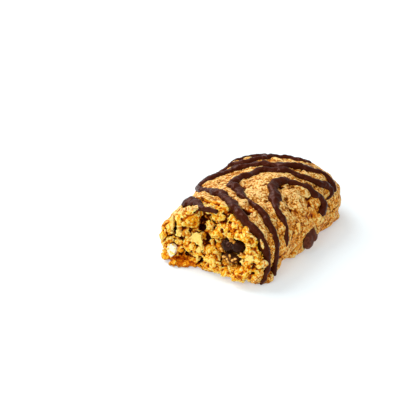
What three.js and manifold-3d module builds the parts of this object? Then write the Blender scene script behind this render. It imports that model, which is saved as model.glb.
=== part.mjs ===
// Half of a soft-baked granola bar, broken across, with chocolate drizzled over its top.
// Millimetres. X runs across the bar, Y along it from the broken face to the closed end, Z up.
// The origin is on the surface the bar lies on, under the middle of its bounding box.

import * as THREE from 'three';
import { mergeVertices } from 'three/addons/utils/BufferGeometryUtils.js';
import Module from 'manifold-3d';

const wasm = await Module();
wasm.setup();

// ---- driving sizes ----

const BAR_WIDTH = 36;
const BAR_LENGTH = 57.5;
const CREST_HEIGHT = 19.2;    // dough alone, the drizzle stands on top of it
const BELLY_HEIGHT = 5.8;     // the walls are widest at this height
const BASE_INSET = 0.08;      // share of the half width that the base edge is drawn in
const ARCH_POWER = 2.43;      // superellipse of the arched top
const END_REACH = 18.5;       // length over which the closed end rounds off
const END_PLAN_POWER = 2.8;   // superellipse of the closed end seen from above
const END_SIDE_POWER = 1.84;  // and seen from the side
const FACE_LEAN = 2.7;        // the broken face is this far back at the crest

const ORIGIN_SHIFT_Y = 1.65;  // the face's crumbs stand out in front, so the box's middle lies forward

const FRONT = -BAR_LENGTH / 2;
const BACK = BAR_LENGTH / 2;
const END_START = BACK - END_REACH;
const HALF_WIDTH = BAR_WIDTH / 2;
const ARCH_RISE = CREST_HEIGHT - BELLY_HEIGHT;

// Angles on a cross-section are degrees from the crest, positive towards +X.
const BELLY_ANGLE = 90;
const BASE_ANGLE = 120;

// ---- mesh density ----

const ARCH_COLUMNS = 44;
const BASE_COLUMNS = 5;
const FACE_ROWS = 13;
const FACE_ROW_SPREAD = 0.75; // below 1 it keeps the rows apart near the middle of the face
const SIDE_ROWS = 22;
const END_ROWS = 9;
const STRAND_SIDES = 6;
const STRAND_STEP = 2.5;
const STRAND_CAP_ROWS = 2;

// ---- relief ----

const LUMPS = [
	{ size: 8.5, height: 0.55 },
	{ size: 3.9, height: 0.42 },
];
const CLUMPS = [
	{ size: 6.2, height: 2.3 },
	{ size: 3.1, height: 1.3 },
];
const DOME_DRIFT = 0.35;      // how far a dome's middle strays from its cell's middle, in cells
const DOME_LEVEL = 0.6;       // the part of a dome's height that lies under the mean surface
const RELIEF_FADE = 2.2;      // height over which relief grows from nothing at the flat base
const FACE_MIDDLE_Z = 8.6;

// Hollows and swells of the broken face: centre, reach across, reach up, and how far out it comes.
const FACE_FORMS = [
	{ x: -3.5, z: 15.2, wide: 1.9, tall: 2.7, out: -5.2 },   // deep hole under the drizzle
	{ x: -12.6, z: 10.6, wide: 0.9, tall: 2.6, out: -2.4 },  // split beside the left crust
	{ x: 5.5, z: 20.5, wide: 6.5, tall: 4.6, out: -6.2 },    // top edge crumbled away
	{ x: 10.5, z: 5, wide: 6.5, tall: 3.4, out: 2.2 },       // lower right swells forward
	{ x: 9, z: 0, wide: 8.5, tall: 2, out: -2.0 },           // over a base edge drawn back
	{ x: -9.5, z: 0.4, wide: 5, tall: 1.5, out: 1.3 },       // lip of base crust on the left
	{ x: -8.5, z: 3.2, wide: 4.5, tall: 1.1, out: -1.9 },    // dark hollows above that lip
	{ x: 6.4, z: 6.4, wide: 3.4, tall: 1.7, out: -1.4 },     // hollow below the chocolate
	{ x: -1.6, z: 9.2, wide: 1.6, tall: 3.4, out: -1.5 },    // hollow between flake and chocolate
];

// Dents and swells of the crust: centre by angle and y, reach round and along, and how far out it comes.
const CRUST_FORMS = [
	{ angle: -58, y: -29, round: 26, long: 7, out: -1.5 },   // left shoulder crumbled at the break
	{ angle: -96, y: -29, round: 16, long: 9, out: -0.8 },
	{ angle: 14, y: -12, round: 8, long: 2.4, out: -0.6 },   // crevice that pinches the drizzle
	{ angle: 55, y: 16.5, round: 9, long: 2.2, out: -0.6 },
	{ angle: 84, y: 2, round: 16, long: 4, out: 0.5 },
];

// Where the base edge of a wall steps out or is drawn in along the bar.
const BASE_STEPS = [
	{ side: 1, y: -30, long: 3.6, out: -3.6 },
	{ side: 1, y: -24.4, long: 1.8, out: 1.6 },
	{ side: 1, y: -13, long: 6.5, out: -2 },
	{ side: 1, y: 8, long: 4.5, out: -1.3 },
	{ side: -1, y: -30, long: 4.5, out: -2 },
	{ side: -1, y: 3, long: 6, out: -0.8 },
];

// ---- drizzle: [angle, y, half width], each strand one stroke of the nozzle ----

const MM_PER_DEGREE = 0.3;
const PROBE_MM = 0.1;         // steps along and round the loaf that give its outward direction
const PROBE_DEGREES = 1;
const STRAND_LOOK = 0.01;     // share of a strand's length either side that gives its direction
const DRIZZLE_SINK = 0.2;    // depth of a strand's centre line under the crust
const STRANDS = [
	[[-76, -26, 0.6], [-64, -26.2, 1.0], [-52, -25.6, 1.4], [-40, -24, 1.5],
		[-28, -24.3, 1.2], [-14, -25.6, 1.1], [-4, -25.9, 0.9]],
	[[112, -26.7, 0.8], [96, -26.4, 0.8], [80, -25.9, 1.0], [62, -25.6, 1.1], [44, -25.2, 1.2],
		[30, -24.6, 1.5], [19, -23, 1.5], [8, -20.6, 1.3], [-4, -17.9, 1.5], [-18, -15.6, 1.4],
		[-34, -13.8, 1.1], [-48, -11.6, 1.1], [-58, -8.6, 1.2], [-49, -4.6, 1.3], [-36, -2.4, 1.2],
		[-20, 2, 1.1], [-8, 7, 1.2], [3, 9.2, 1.3], [14, 12, 1.3], [26, 14.2, 1.2], [38, 16.6, 1.2],
		[52, 18, 1.2], [66, 17, 0.9]],
	[[106, -22.1, 0.8], [90, -22, 0.9], [76, -21, 1.1], [62, -20.1, 1.3], [48, -19, 1.4],
		[32, -16.8, 1.3], [16, -16.1, 0.9], [6, -14.6, 0.9], [0, -11.8, 1.4], [-9, -9.8, 1.4],
		[-12, -7.2, 1.4], [-9, -4, 1.5], [-4, 1.6, 1.3], [4, 5.7, 1.2], [18, 8, 1.2], [32, 8.7, 1.2],
		[44, 11, 1.2], [57, 14.4, 1.3], [67, 13.8, 0.8], [69, 11, 0.7]],
	[[88, -16.6, 0.5], [74, -14.6, 0.8], [58, -12.7, 0.9], [44, -12.2, 1.0], [32, -9.9, 1.5],
		[22, -7.2, 1.7], [12, -4, 1.6], [13, -0.2, 1.5], [22, 2.6, 1.4], [34, 4.1, 1.2],
		[46, 5.4, 1.4], [58, 6.8, 1.1], [71, 8.2, 0.9], [78, 6.3, 1.2]],
	[[-98, -3.4, 0.7], [-80, -1.8, 0.9], [-62, 1, 0.9], [-46, 5.2, 1.0], [-30, 7.6, 1.0],
		[-18, 11.6, 1.0], [-9, 17.2, 1.1], [2, 20, 1.1], [14, 20.9, 0.7]],
	[[-100, 3.2, 0.7], [-82, 3, 0.8], [-64, 5.4, 0.8], [-50, 9.6, 0.9], [-37, 14.4, 0.9],
		[-24, 16.7, 0.9], [-13, 15.8, 0.9]],
];

// ---- pieces in the dough: place, half sizes along X, Y and Z, and turn about Y in degrees ----

const CHIP_GAP = 0.3;
const CHIP_SEGMENTS = [16, 10];
const CHIP_SQUARENESS = 0.85; // below 1 it fills the chip out towards a block
const CHIP_DENT_REACH = 0.35; // half width of the dent as a share of the chip's
const CHIPS = [
	{ name: 'chocolate_chip_front', at: [7.1, -26.0, 10.9], half: [3.5, 2.3, 2.0], turn: 6, dent: 0.28 },
	{ name: 'chocolate_chip_low', at: [6.7, -27.3, 6.4], half: [2.8, 1.7, 1.4], turn: -8, dent: 0.1 },
	{ name: 'chocolate_chip_side', at: [17.2, -2.1, 4.7], half: [2.1, 2.8, 2.5], turn: 0, dent: 0.12 },
];
const FLAKES = [
	{ at: [-5.1, -27.3, 9.6], half: [2.2, 0.9, 2.0], turn: 20 },
	{ at: [-12.9, -27.9, 4.4], half: [1.3, 0.9, 2.3], turn: -18 },
	{ at: [13.4, -27.6, 8.7], half: [1.6, 0.8, 1.1], turn: 10 },
	{ at: [12.3, -7.9, 16.6], half: [1.6, 2.1, 0.7], turn: 32 },
	{ at: [17.3, -8.6, 10.2], half: [0.7, 1.7, 2.1], turn: 8 },
	{ at: [10.3, -19.1, 17.4], half: [1.7, 1.6, 1.3], turn: 25 },
];
const CRUMB_SEED = 41;
const CRUMB_SPACING = 3.4;
const CRUMB_RADIUS = [0.9, 2.0];
const CRUMB_SINK = 0.35;      // share of its radius that a crumb's centre lies under the surface
const CRUMB_FLATTENING = [1, 0.8, 0.85];
const CRUMB_FIELD = 0.8;      // share of the face's outline, raised to its power, that crumbs keep within
const CHIP_CLEARANCE = 4.4;   // crumbs stay this far from the middle of a chip

const COLOURS = {
	dough: 0xdb9d50,
	chocolate: 0x4a2b20,
};

// ---- noise ----

function seededRandom(seed) {
	let state = seed;
	return function () {
		state = (state + 0x6d2b79f5) | 0;
		let mixed = Math.imul(state ^ (state >>> 15), state | 1);
		mixed ^= mixed + Math.imul(mixed ^ (mixed >>> 7), mixed | 61);
		return ((mixed ^ (mixed >>> 14)) >>> 0) / 4294967296;
	};
}

// A fixed number between 0 and 1 for each corner of a lattice.
function cornerValue(i, j, k) {
	let mixed = Math.imul(i, 0x27d4eb2d) ^ Math.imul(j, 0x165667b1) ^ Math.imul(k, 0x1b873593);
	mixed = Math.imul(mixed ^ (mixed >>> 15), 0x2c1b3c6d);
	mixed = Math.imul(mixed ^ (mixed >>> 12), 0x297a2d39);
	return ((mixed ^ (mixed >>> 15)) >>> 0) / 4294967296;
}

function ease(t) {
	return t * t * (3 - 2 * t);
}

// Smooth value noise from -1 to 1 over space.
function swell(x, y, z, size) {
	const place = [x / size, y / size, z / size];
	const corner = place.map(Math.floor);
	const [u, v, w] = place.map((value, axis) => ease(value - corner[axis]));
	const [i, j, k] = corner;
	const row = (b, c) => THREE.MathUtils.lerp(cornerValue(i, b, c), cornerValue(i + 1, b, c), u);
	const sheet = (c) => THREE.MathUtils.lerp(row(j, c), row(j + 1, c), v);
	return 2 * THREE.MathUtils.lerp(sheet(k), sheet(k + 1), w) - 1;
}

// Rounded domes packed side by side over a plane, with creases between them: 1 on a dome, 0 in a crease.
function domes(x, z, size) {
	const column = Math.floor(x / size);
	const level = Math.floor(z / size);
	let nearest = 1;
	for (let i = column - 1; i <= column + 1; i++) {
		for (let k = level - 1; k <= level + 1; k++) {
			const centreX = (i + 0.5 + DOME_DRIFT * (2 * cornerValue(i, 7, k) - 1)) * size;
			const centreZ = (k + 0.5 + DOME_DRIFT * (2 * cornerValue(i, 19, k) - 1)) * size;
			const distance = Math.hypot(x - centreX, z - centreZ) / size;
			nearest = Math.min(nearest, distance * distance);
		}
	}
	return 1 - nearest;
}

// ---- the smooth loaf ----

// Half width and height of the loaf, share being 0 where the closed end starts and 1 at its tip.
function endSection(share) {
	const half = HALF_WIDTH * Math.pow(1 - Math.pow(share, END_PLAN_POWER), 1 / END_PLAN_POWER);
	const rise = ARCH_RISE * Math.pow(1 - Math.pow(share, END_SIDE_POWER), 1 / END_SIDE_POWER);
	return { half, rise };
}

function baseStep(side, y) {
	const steps = BASE_STEPS.filter((step) => step.side === side);
	return steps.reduce((sum, step) => sum + step.out * Math.exp(-(((y - step.y) / step.long) ** 2)), 0);
}

function loafPoint(angle, y) {
	const share = THREE.MathUtils.clamp((y - END_START) / END_REACH, 0, 1);
	const { half, rise } = endSection(share);
	const side = Math.sign(angle);
	if (Math.abs(angle) <= BELLY_ANGLE) {
		const turn = THREE.MathUtils.degToRad(Math.abs(angle));
		const across = half * Math.pow(Math.sin(turn), 2 / ARCH_POWER);
		const up = BELLY_HEIGHT + rise * Math.pow(Math.max(Math.cos(turn), 0), 2 / ARCH_POWER);
		return new THREE.Vector3(side * across, y, up);
	}
	const under = (Math.abs(angle) - BELLY_ANGLE) / (BASE_ANGLE - BELLY_ANGLE) * Math.PI / 2;
	const drawnIn = 1 - BASE_INSET * (1 - Math.cos(under));
	const step = baseStep(side, y) * Math.sin(under) * half / HALF_WIDTH;
	return new THREE.Vector3(side * (half * drawnIn + step), y, BELLY_HEIGHT * (1 - Math.sin(under)));
}

// Lumps push the crust out from a spine at belly height that stops where the closed end starts.
function lumpy(point, angle) {
	const spine = new THREE.Vector3(0, Math.min(point.y, END_START), BELLY_HEIGHT);
	const outward = point.clone().sub(spine).normalize();
	let height = 0;
	for (const { size, height: reach } of LUMPS) {
		height += reach * swell(point.x, point.y, point.z, size);
	}
	for (const form of CRUST_FORMS) {
		const round = (angle - form.angle) / form.round;
		const along = (point.y - form.y) / form.long;
		height += form.out * Math.exp(-(round * round) - along * along);
	}
	const fade = ease(THREE.MathUtils.clamp(point.z / RELIEF_FADE, 0, 1));
	return point.clone().addScaledVector(outward, height * fade);
}

function crustPoint(angle, y) {
	return lumpy(loafPoint(angle, y), angle);
}

// ---- the broken face ----

function faceY(x, z) {
	let out = 0;
	for (const form of FACE_FORMS) {
		out += form.out * Math.exp(-(((x - form.x) / form.wide) ** 2) - ((z - form.z) / form.tall) ** 2);
	}
	for (const { size, height } of CLUMPS) {
		out += height * (domes(x, z, size) - DOME_LEVEL);
	}
	return FRONT + FACE_LEAN * z / CREST_HEIGHT - out;
}

// ---- one closed surface from the middle of the broken face to the tip of the closed end ----

// A point of the cross-section at y: the first columns go over the arch, the rest back along the flat base.
function sectionPoint(column, y) {
	if (column <= ARCH_COLUMNS) {
		const angle = THREE.MathUtils.lerp(-BASE_ANGLE, BASE_ANGLE, column / ARCH_COLUMNS);
		return crustPoint(angle, y);
	}
	const across = (column - ARCH_COLUMNS) / BASE_COLUMNS;
	return crustPoint(BASE_ANGLE, y).lerp(crustPoint(-BASE_ANGLE, y), across);
}

function facePoint(column, share) {
	const rim = sectionPoint(column, FRONT + FACE_LEAN);
	const x = rim.x * share;
	const z = THREE.MathUtils.lerp(FACE_MIDDLE_Z, rim.z, share);
	return new THREE.Vector3(x, faceY(x, z), z);
}

function bodyPoint(column, row) {
	if (row <= SIDE_ROWS) {
		const rim = facePoint(column, 1);
		return sectionPoint(column, THREE.MathUtils.lerp(rim.y, END_START, row / SIDE_ROWS));
	}
	const turn = (row - SIDE_ROWS) / END_ROWS * Math.PI / 2;
	const share = Math.pow(Math.sin(turn), 2 / END_PLAN_POWER);
	return sectionPoint(column, END_START + END_REACH * share);
}

function loafGeometry() {
	const columns = ARCH_COLUMNS + BASE_COLUMNS;
	const rows = FACE_ROWS + SIDE_ROWS + END_ROWS;
	const geometry = new THREE.SphereGeometry(1, columns, rows);
	const { position, uv } = geometry.attributes;
	for (let index = 0; index < position.count; index++) {
		const row = Math.round(uv.getY(index) * rows);
		const column = Math.round(uv.getX(index) * columns);
		let point = new THREE.Vector3(0, BACK, BELLY_HEIGHT / 2);
		if (row <= FACE_ROWS) {
			point = facePoint(column, Math.pow(row / FACE_ROWS, FACE_ROW_SPREAD));
		} else if (row < rows) {
			point = bodyPoint(column, row - FACE_ROWS);
		}
		position.setXYZ(index, point.x, point.y, point.z);
	}
	return geometry;
}

// ---- drizzle ----

// The crust point and outward direction at a place given by angle and y.
function crustFrame(angle, y) {
	const point = crustPoint(angle, y);
	const onward = loafPoint(angle, y + PROBE_MM).sub(loafPoint(angle, y - PROBE_MM));
	const around = loafPoint(angle + PROBE_DEGREES, y).sub(loafPoint(angle - PROBE_DEGREES, y));
	const outward = onward.cross(around).normalize();
	return { point, outward };
}

function strandCentre(route, share) {
	const place = route.getPointAt(THREE.MathUtils.clamp(share, 0, 1));
	const { point, outward } = crustFrame(place.x / MM_PER_DEGREE, place.y);
	return { centre: point.addScaledVector(outward, -DRIZZLE_SINK), outward, half: place.z };
}

// A capsule laid along the route: its axis becomes the route and its rings follow the crust.
function strandGeometry(strand) {
	const stops = strand.map(([angle, y, half]) => new THREE.Vector3(angle * MM_PER_DEGREE, y, half));
	const route = new THREE.CatmullRomCurve3(stops);
	const length = route.getLength();
	const steps = Math.ceil(length / STRAND_STEP);
	const straight = length - 2;
	const geometry = new THREE.CapsuleGeometry(1, straight, STRAND_CAP_ROWS, STRAND_SIDES, steps);
	const { position } = geometry.attributes;
	for (let index = 0; index < position.count; index++) {
		const share = (position.getY(index) + length / 2) / length;
		const here = strandCentre(route, share);
		const behind = strandCentre(route, share - STRAND_LOOK);
		const ahead = strandCentre(route, share + STRAND_LOOK);
		const sideways = ahead.centre.sub(behind.centre).cross(here.outward).normalize();
		const point = here.centre;
		point.addScaledVector(sideways, position.getX(index) * here.half);
		point.addScaledVector(here.outward, position.getZ(index) * here.half);
		position.setXYZ(index, point.x, point.y, point.z);
	}
	return geometry;
}

// ---- chips, flakes and crumbs ----

function turned(geometry, at, turn) {
	geometry.rotateY(THREE.MathUtils.degToRad(turn));
	geometry.translate(...at);
	return geometry;
}

// A rounded chip with a shallow dent in its upper side, grown by margin all round.
function chipGeometry({ at, half, turn, dent }, margin) {
	const geometry = new THREE.SphereGeometry(1, ...CHIP_SEGMENTS);
	const { position } = geometry.attributes;
	for (let index = 0; index < position.count; index++) {
		const out = new THREE.Vector3().fromBufferAttribute(position, index);
		const filled = out.toArray().map((value) => Math.sign(value) * Math.abs(value) ** CHIP_SQUARENESS);
		const sag = 1 - dent * Math.exp(-((out.x / CHIP_DENT_REACH) ** 2)) * Math.max(out.z, 0);
		const point = new THREE.Vector3(filled[0] * half[0], filled[1] * half[1], filled[2] * half[2] * sag);
		point.addScaledVector(out, margin);
		position.setXYZ(index, point.x, point.y, point.z);
	}
	return turned(geometry, at, turn);
}

function flakeGeometry({ at, half, turn }) {
	const geometry = new THREE.DodecahedronGeometry(1);
	geometry.scale(...half);
	return turned(geometry, at, turn);
}

// Larger crumbs of the broken face, one in each cell of a jittered grid.
function crumbGeometries() {
	const random = seededRandom(CRUMB_SEED);
	const crumbs = [];
	for (let column = -HALF_WIDTH; column < HALF_WIDTH; column += CRUMB_SPACING) {
		for (let level = 0; level < CREST_HEIGHT; level += CRUMB_SPACING) {
			const x = column + random() * CRUMB_SPACING;
			const z = level + random() * CRUMB_SPACING;
			const radius = THREE.MathUtils.lerp(...CRUMB_RADIUS, random());
			const spin = random() * 90;
			const reach = (Math.abs(x) / HALF_WIDTH) ** ARCH_POWER + (z / CREST_HEIGHT) ** ARCH_POWER;
			const clear = CHIPS.every(({ at }) => Math.hypot(x - at[0], z - at[2]) > CHIP_CLEARANCE);
			if (reach < CRUMB_FIELD && z > radius && clear) {
				const geometry = new THREE.IcosahedronGeometry(radius, 0);
				geometry.scale(...CRUMB_FLATTENING);
				crumbs.push(turned(geometry, [x, faceY(x, z) + radius * CRUMB_SINK, z], spin));
			}
		}
	}
	return crumbs;
}

// ---- joining and cutting ----

function toSolid(geometry) {
	geometry.deleteAttribute('normal');
	geometry.deleteAttribute('uv');
	const merged = mergeVertices(geometry);
	return new wasm.Manifold(new wasm.Mesh({
		numProp: 3,
		vertProperties: new Float32Array(merged.attributes.position.array),
		triVerts: new Uint32Array(merged.index.array),
	}));
}

function toMesh(name, solid, material) {
	const { vertProperties, triVerts } = solid.getMesh();
	const geometry = new THREE.BufferGeometry();
	geometry.setAttribute('position', new THREE.BufferAttribute(vertProperties, 3));
	geometry.setIndex(new THREE.BufferAttribute(triVerts, 1));
	geometry.computeVertexNormals();
	const mesh = new THREE.Mesh(geometry, material);
	mesh.name = name;
	return mesh;
}

// Loose scraps are dropped and sealed hollows filled: both are bodies of their own after the joins.
function largestBody(solid) {
	return solid.decompose().reduce((largest, body) => (body.volume() > largest.volume() ? body : largest));
}

function barSolid() {
	const toppings = [...STRANDS.map(strandGeometry), ...FLAKES.map(flakeGeometry), ...crumbGeometries()];
	let solid = toSolid(loafGeometry());
	for (const topping of toppings) {
		solid = solid.add(toSolid(topping));
	}
	for (const chip of CHIPS) {
		solid = solid.subtract(toSolid(chipGeometry(chip, CHIP_GAP)));
	}
	return largestBody(solid);
}

// ---- the part ----

const dough = new THREE.MeshStandardMaterial({ color: COLOURS.dough, roughness: 0.9, metalness: 0 });
const chocolate = new THREE.MeshStandardMaterial({ color: COLOURS.chocolate, roughness: 0.35, metalness: 0 });

const granolaBar = new THREE.Group();
granolaBar.position.y = ORIGIN_SHIFT_Y;
granolaBar.add(toMesh('bar', barSolid(), dough));
for (const chip of CHIPS) {
	granolaBar.add(toMesh(chip.name, toSolid(chipGeometry(chip, 0)), chocolate));
}

export default granolaBar;
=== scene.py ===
# %% [markdown]
# # Half a granola bar, broken across and drizzled with chocolate
#
# The real thing is soft oat dough, baked in a long loaf, striped with melted chocolate and then
# snapped in two. Four surfaces make its look: a fine-grained baked crust, the rough crumb of the
# break, satin strands of chocolate, and a few glossy chips and pale oat flakes in the dough.
#
# Crumb has overhangs, holes and grains that touch each other, so it can't be one sheet of faces
# pushed up and down. Here the dough is built as a volume: a block of space where each point holds
# its distance to the surface, negative inside. In a volume two shapes are joined by taking the
# smaller distance and cut by taking the larger one, and OpenVDB, which comes with Blender, turns
# the result into a mesh.

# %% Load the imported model
import math

import bpy
import numpy as np
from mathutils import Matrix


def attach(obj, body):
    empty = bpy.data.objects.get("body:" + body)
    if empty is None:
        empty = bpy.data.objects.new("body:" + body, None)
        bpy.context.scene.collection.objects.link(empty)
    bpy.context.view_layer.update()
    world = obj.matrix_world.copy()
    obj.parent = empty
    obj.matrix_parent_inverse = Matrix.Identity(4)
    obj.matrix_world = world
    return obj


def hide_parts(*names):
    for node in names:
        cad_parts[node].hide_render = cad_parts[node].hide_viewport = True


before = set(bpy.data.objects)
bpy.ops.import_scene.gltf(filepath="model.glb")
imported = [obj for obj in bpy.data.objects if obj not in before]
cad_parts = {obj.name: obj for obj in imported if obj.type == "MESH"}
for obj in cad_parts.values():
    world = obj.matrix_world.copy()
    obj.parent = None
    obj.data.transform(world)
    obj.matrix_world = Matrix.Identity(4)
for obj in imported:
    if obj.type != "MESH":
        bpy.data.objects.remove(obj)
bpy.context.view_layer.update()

import openvdb
from mathutils import Vector

MM = 0.001


print("solids:", sorted(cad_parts))

# %% [markdown]
# ## Camera, light and floor
#
# A product picture of food is usually taken with a long lens from a little above. With a lens of
# 174 mm the far end of the bar looks nearly as large as the near one. The light is a wide soft box
# behind the left shoulder with a weak fill in front, and a white room fills the shadows from
# everywhere else. The floor is white paper that glows a little, because a bright sheet is lit from
# all sides in a studio.

# %% Camera
VIEW_AZIMUTH = math.radians(32.18)
VIEW_ELEVATION = math.radians(26.71)
CAMERA_DISTANCE = 600 * MM
LENS = 174
LOOK_AT = Vector((-27.31, 11.35, 0)) * MM
NEAREST_SEEN = 10 * MM


def add_camera():
    backwards = Vector((
        math.sin(VIEW_AZIMUTH) * math.cos(VIEW_ELEVATION),
        -math.cos(VIEW_AZIMUTH) * math.cos(VIEW_ELEVATION),
        math.sin(VIEW_ELEVATION),
    ))
    data = bpy.data.cameras.new("camera")
    data.lens = LENS
    data.clip_start = NEAREST_SEEN
    camera = bpy.data.objects.new("camera", data)
    camera.location = LOOK_AT + backwards * CAMERA_DISTANCE
    camera.rotation_euler = backwards.to_track_quat("Z", "Y").to_euler()
    bpy.context.scene.collection.objects.link(camera)
    bpy.context.scene.camera = camera
    return camera


camera = add_camera()
print("camera at", [round(v, 4) for v in camera.location])

# %% Light
ROOM_BRIGHTNESS = 0.5
# watts, width in m, place in m
SOFT_BOXES = {
    "soft box behind the left shoulder": (6.6, 0.7, (-0.56, 0.04, 0.62)),
    "fill in front": (2.8, 0.5, (0.05, -0.70, 0.50)),
}


def add_room():
    world = bpy.data.worlds.new("white room")
    bpy.context.scene.world = world
    world.use_nodes = True
    background = world.node_tree.nodes["Background"]
    background.inputs["Color"].default_value = (1.0, 1.0, 1.0, 1)
    background.inputs["Strength"].default_value = ROOM_BRIGHTNESS


def add_soft_box(name, power, width, place):
    data = bpy.data.lights.new(name, "AREA")
    data.shape = "DISK"
    data.size = width
    data.energy = power
    light = bpy.data.objects.new(name, data)
    light.location = Vector(place)
    light.rotation_euler = Vector(place).to_track_quat("Z", "Y").to_euler()
    bpy.context.scene.collection.objects.link(light)


add_room()
for name, (power, width, place) in SOFT_BOXES.items():
    add_soft_box(name, power, width, place)
    print(name, power, "W at", place)
bpy.context.scene.view_settings.view_transform = "Standard"

# %% Floor
FLOOR_REACH = 2.0
FLOOR_COLOUR = (0.55, 0.62, 0.65)
FLOOR_GLOW = 0.40
PAPER_ROUGHNESS = 0.9
PAPER_SHINE = 0.1


def new_material(name):
    material = bpy.data.materials.new(name)
    material.use_nodes = True
    return material, material.node_tree.nodes, material.node_tree.links


def add_floor():
    mesh = bpy.data.meshes.new("floor")
    corners = [(x * FLOOR_REACH, y * FLOOR_REACH, 0) for x, y in ((-1, -1), (1, -1), (1, 1), (-1, 1))]
    mesh.from_pydata(corners, [], [(0, 1, 2, 3)])
    floor = bpy.data.objects.new("floor", mesh)
    bpy.context.scene.collection.objects.link(floor)
    material, nodes, _ = new_material("white paper")
    paint = nodes["Principled BSDF"]
    paint.inputs["Base Color"].default_value = (*FLOOR_COLOUR, 1)
    paint.inputs["Roughness"].default_value = PAPER_ROUGHNESS
    paint.inputs["Specular IOR Level"].default_value = PAPER_SHINE
    paint.inputs["Emission Color"].default_value = (1, 1, 1, 1)
    paint.inputs["Emission Strength"].default_value = FLOOR_GLOW
    mesh.materials.append(material)
    return floor


floor = add_floor()
print("floor of", 2 * FLOOR_REACH, "m")

# %% [markdown]
# ## Sizes of the baked loaf
#
# The loaf has the cross-section of a low arch with a flat base, and its far end rounds off. The
# same driving sizes shape the plain solids, so that the fine surface lands on them. Everything is
# worked out in millimetres and turned into metres when a mesh is made.

# %% Driving sizes in mm
BAR_WIDTH = 36.0
BAR_LENGTH = 57.5
CREST_HEIGHT = 19.2
BELLY_HEIGHT = 5.8     # the walls are widest here
BASE_INSET = 0.08      # share of the half width that the base is narrower by
ARCH_POWER = 2.43      # 2 is an ellipse, and more fills the shoulders out
END_REACH = 18.5       # length over which the closed end rounds off
END_PLAN_POWER = 2.8   # the same powers for the closed end, seen from above
END_SIDE_POWER = 1.84  # and from the side
FACE_LEAN = 2.7        # the top of the broken face lies this much further back than its foot
ORIGIN_SHIFT = np.array([0, 1.65, 0])  # from the middle of the loaf's length to the frame's origin

FRONT = -BAR_LENGTH / 2
BACK = BAR_LENGTH / 2
END_START = BACK - END_REACH
HALF_WIDTH = BAR_WIDTH / 2
ARCH_RISE = CREST_HEIGHT - BELLY_HEIGHT
print("loaf", BAR_WIDTH, "x", BAR_LENGTH, "x", CREST_HEIGHT, "mm, closed end starts at y =", END_START)

# %% Dents and swells of the crust
# angle from the crest, y, reach round in degrees, reach along, height
CRUST_FORMS = [
    (-58, -29, 26, 7, -1.5),    # left shoulder crumbled at the break
    (-96, -29, 16, 9, -0.8),
    (14, -12, 8, 2.4, -0.6),    # crevices that pinch the drizzle
    (55, 16.5, 9, 2.2, -0.6),
    (84, 2, 16, 4, 0.5),
    (-50, -2, 22, 8, 0.9),      # left shoulder swells
    (-44, 9, 20, 6, 0.45),
    (86, 21, 36, 9, -0.8),      # right wall drawn in towards the closed end
]
# side, y, reach along, step outwards of the foot
BASE_STEPS = [
    (1, -30, 3.6, -3.6),
    (1, -24.4, 1.8, 1.6),
    (1, -13, 6.5, -2),
    (1, 8, 4.5, -1.3),
    (1, -11.5, 2.6, -1.4),
    (1, -1, 3.0, -1.9),
    (1, 10, 6.0, -1.2),
    (1, 19, 6.0, -1.2),
    (-1, -30, 4.5, -2),
    (-1, 3, 6, -0.8),
]
LUMPS = [(8.5, 0.55), (3.9, 0.42)]  # size and height of the loaf's uneven swells
RELIEF_FADE = 2.2                   # these forms fade out below this height, to leave the base flat
print(len(CRUST_FORMS), "forms of the crust,", len(BASE_STEPS), "steps of the foot")

# %% [markdown]
# ## Noise
#
# Baked dough is uneven at every size. Smooth swells come from a lattice of random numbers with soft
# steps between them, and packed lumps come from domes around scattered points. The number for each
# lattice corner is worked out from the corner's place, so that it never changes between runs. Every
# use of noise has a seed of its own, so that no two of them rise and fall together.

# %% A fixed random number for each corner of a lattice
# large odd numbers that scramble the bits of a corner's place
SCRAMBLE_PLACE = [np.uint32(0x27D4EB2D), np.uint32(0x165667B1), np.uint32(0x1B873593)]
SCRAMBLE_AGAIN = [(np.uint32(15), np.uint32(0x2C1B3C6D)), (np.uint32(12), np.uint32(0x297A2D39))]
LARGEST = 2.0**32


def corner_value(i, j, k):
    """A random number from 0 to 1 that belongs to the lattice corner i, j, k."""
    mixed = np.uint32(0)
    for place, scramble in zip((i, j, k), SCRAMBLE_PLACE):
        mixed = mixed ^ (np.atleast_1d(place).astype(np.int64).astype(np.uint32) * scramble)
    for shift, scramble in SCRAMBLE_AGAIN:
        mixed = (mixed ^ (mixed >> shift)) * scramble
    return (mixed ^ (mixed >> np.uint32(15))) / LARGEST


print("numbers of four corners:", np.round(corner_value(np.arange(4), 0, 0), 3))

# %% Soft steps


def ease(t):
    return t * t * (3 - 2 * t)


def ramp(value, low, high):
    """0 below low, 1 above high, with a soft step between them. low may be the larger one."""
    return ease(np.clip((value - low) / (high - low), 0, 1))


print("a soft step from 0 to 1:", np.round(ramp(np.linspace(0, 1, 5), 0, 1), 2))

# %% Swells
# share along an axis and the lattice corner on that side
LOW_AND_HIGH = ((0, lambda share: 1 - share), (1, lambda share: share))


def swell(x, y, z, size):
    """Smooth noise from -1 to 1 at the given points."""
    place = [np.asarray(v, float) / size for v in (x, y, z)]
    corner = [np.floor(v) for v in place]
    u, v, w = [ease(p - c) for p, c in zip(place, corner)]
    i, j, k = corner
    total = 0
    for di, across in LOW_AND_HIGH:
        for dj, along in LOW_AND_HIGH:
            for dk, up in LOW_AND_HIGH:
                total = total + across(u) * along(v) * up(w) * corner_value(i + di, j + dj, k + dk)
    return 2 * total - 1


print("swell at three points:", np.round(swell([0.2, 3, 9], [0, 0, 0], [1, 2, 5], LUMPS[1][0]), 3))

# %% Domes packed over a plane
DOME_DRIFT = 0.35  # how far a dome's middle may lie from its cell's, as a share of the cell
DRIFT_ROWS = (7, 19)


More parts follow.
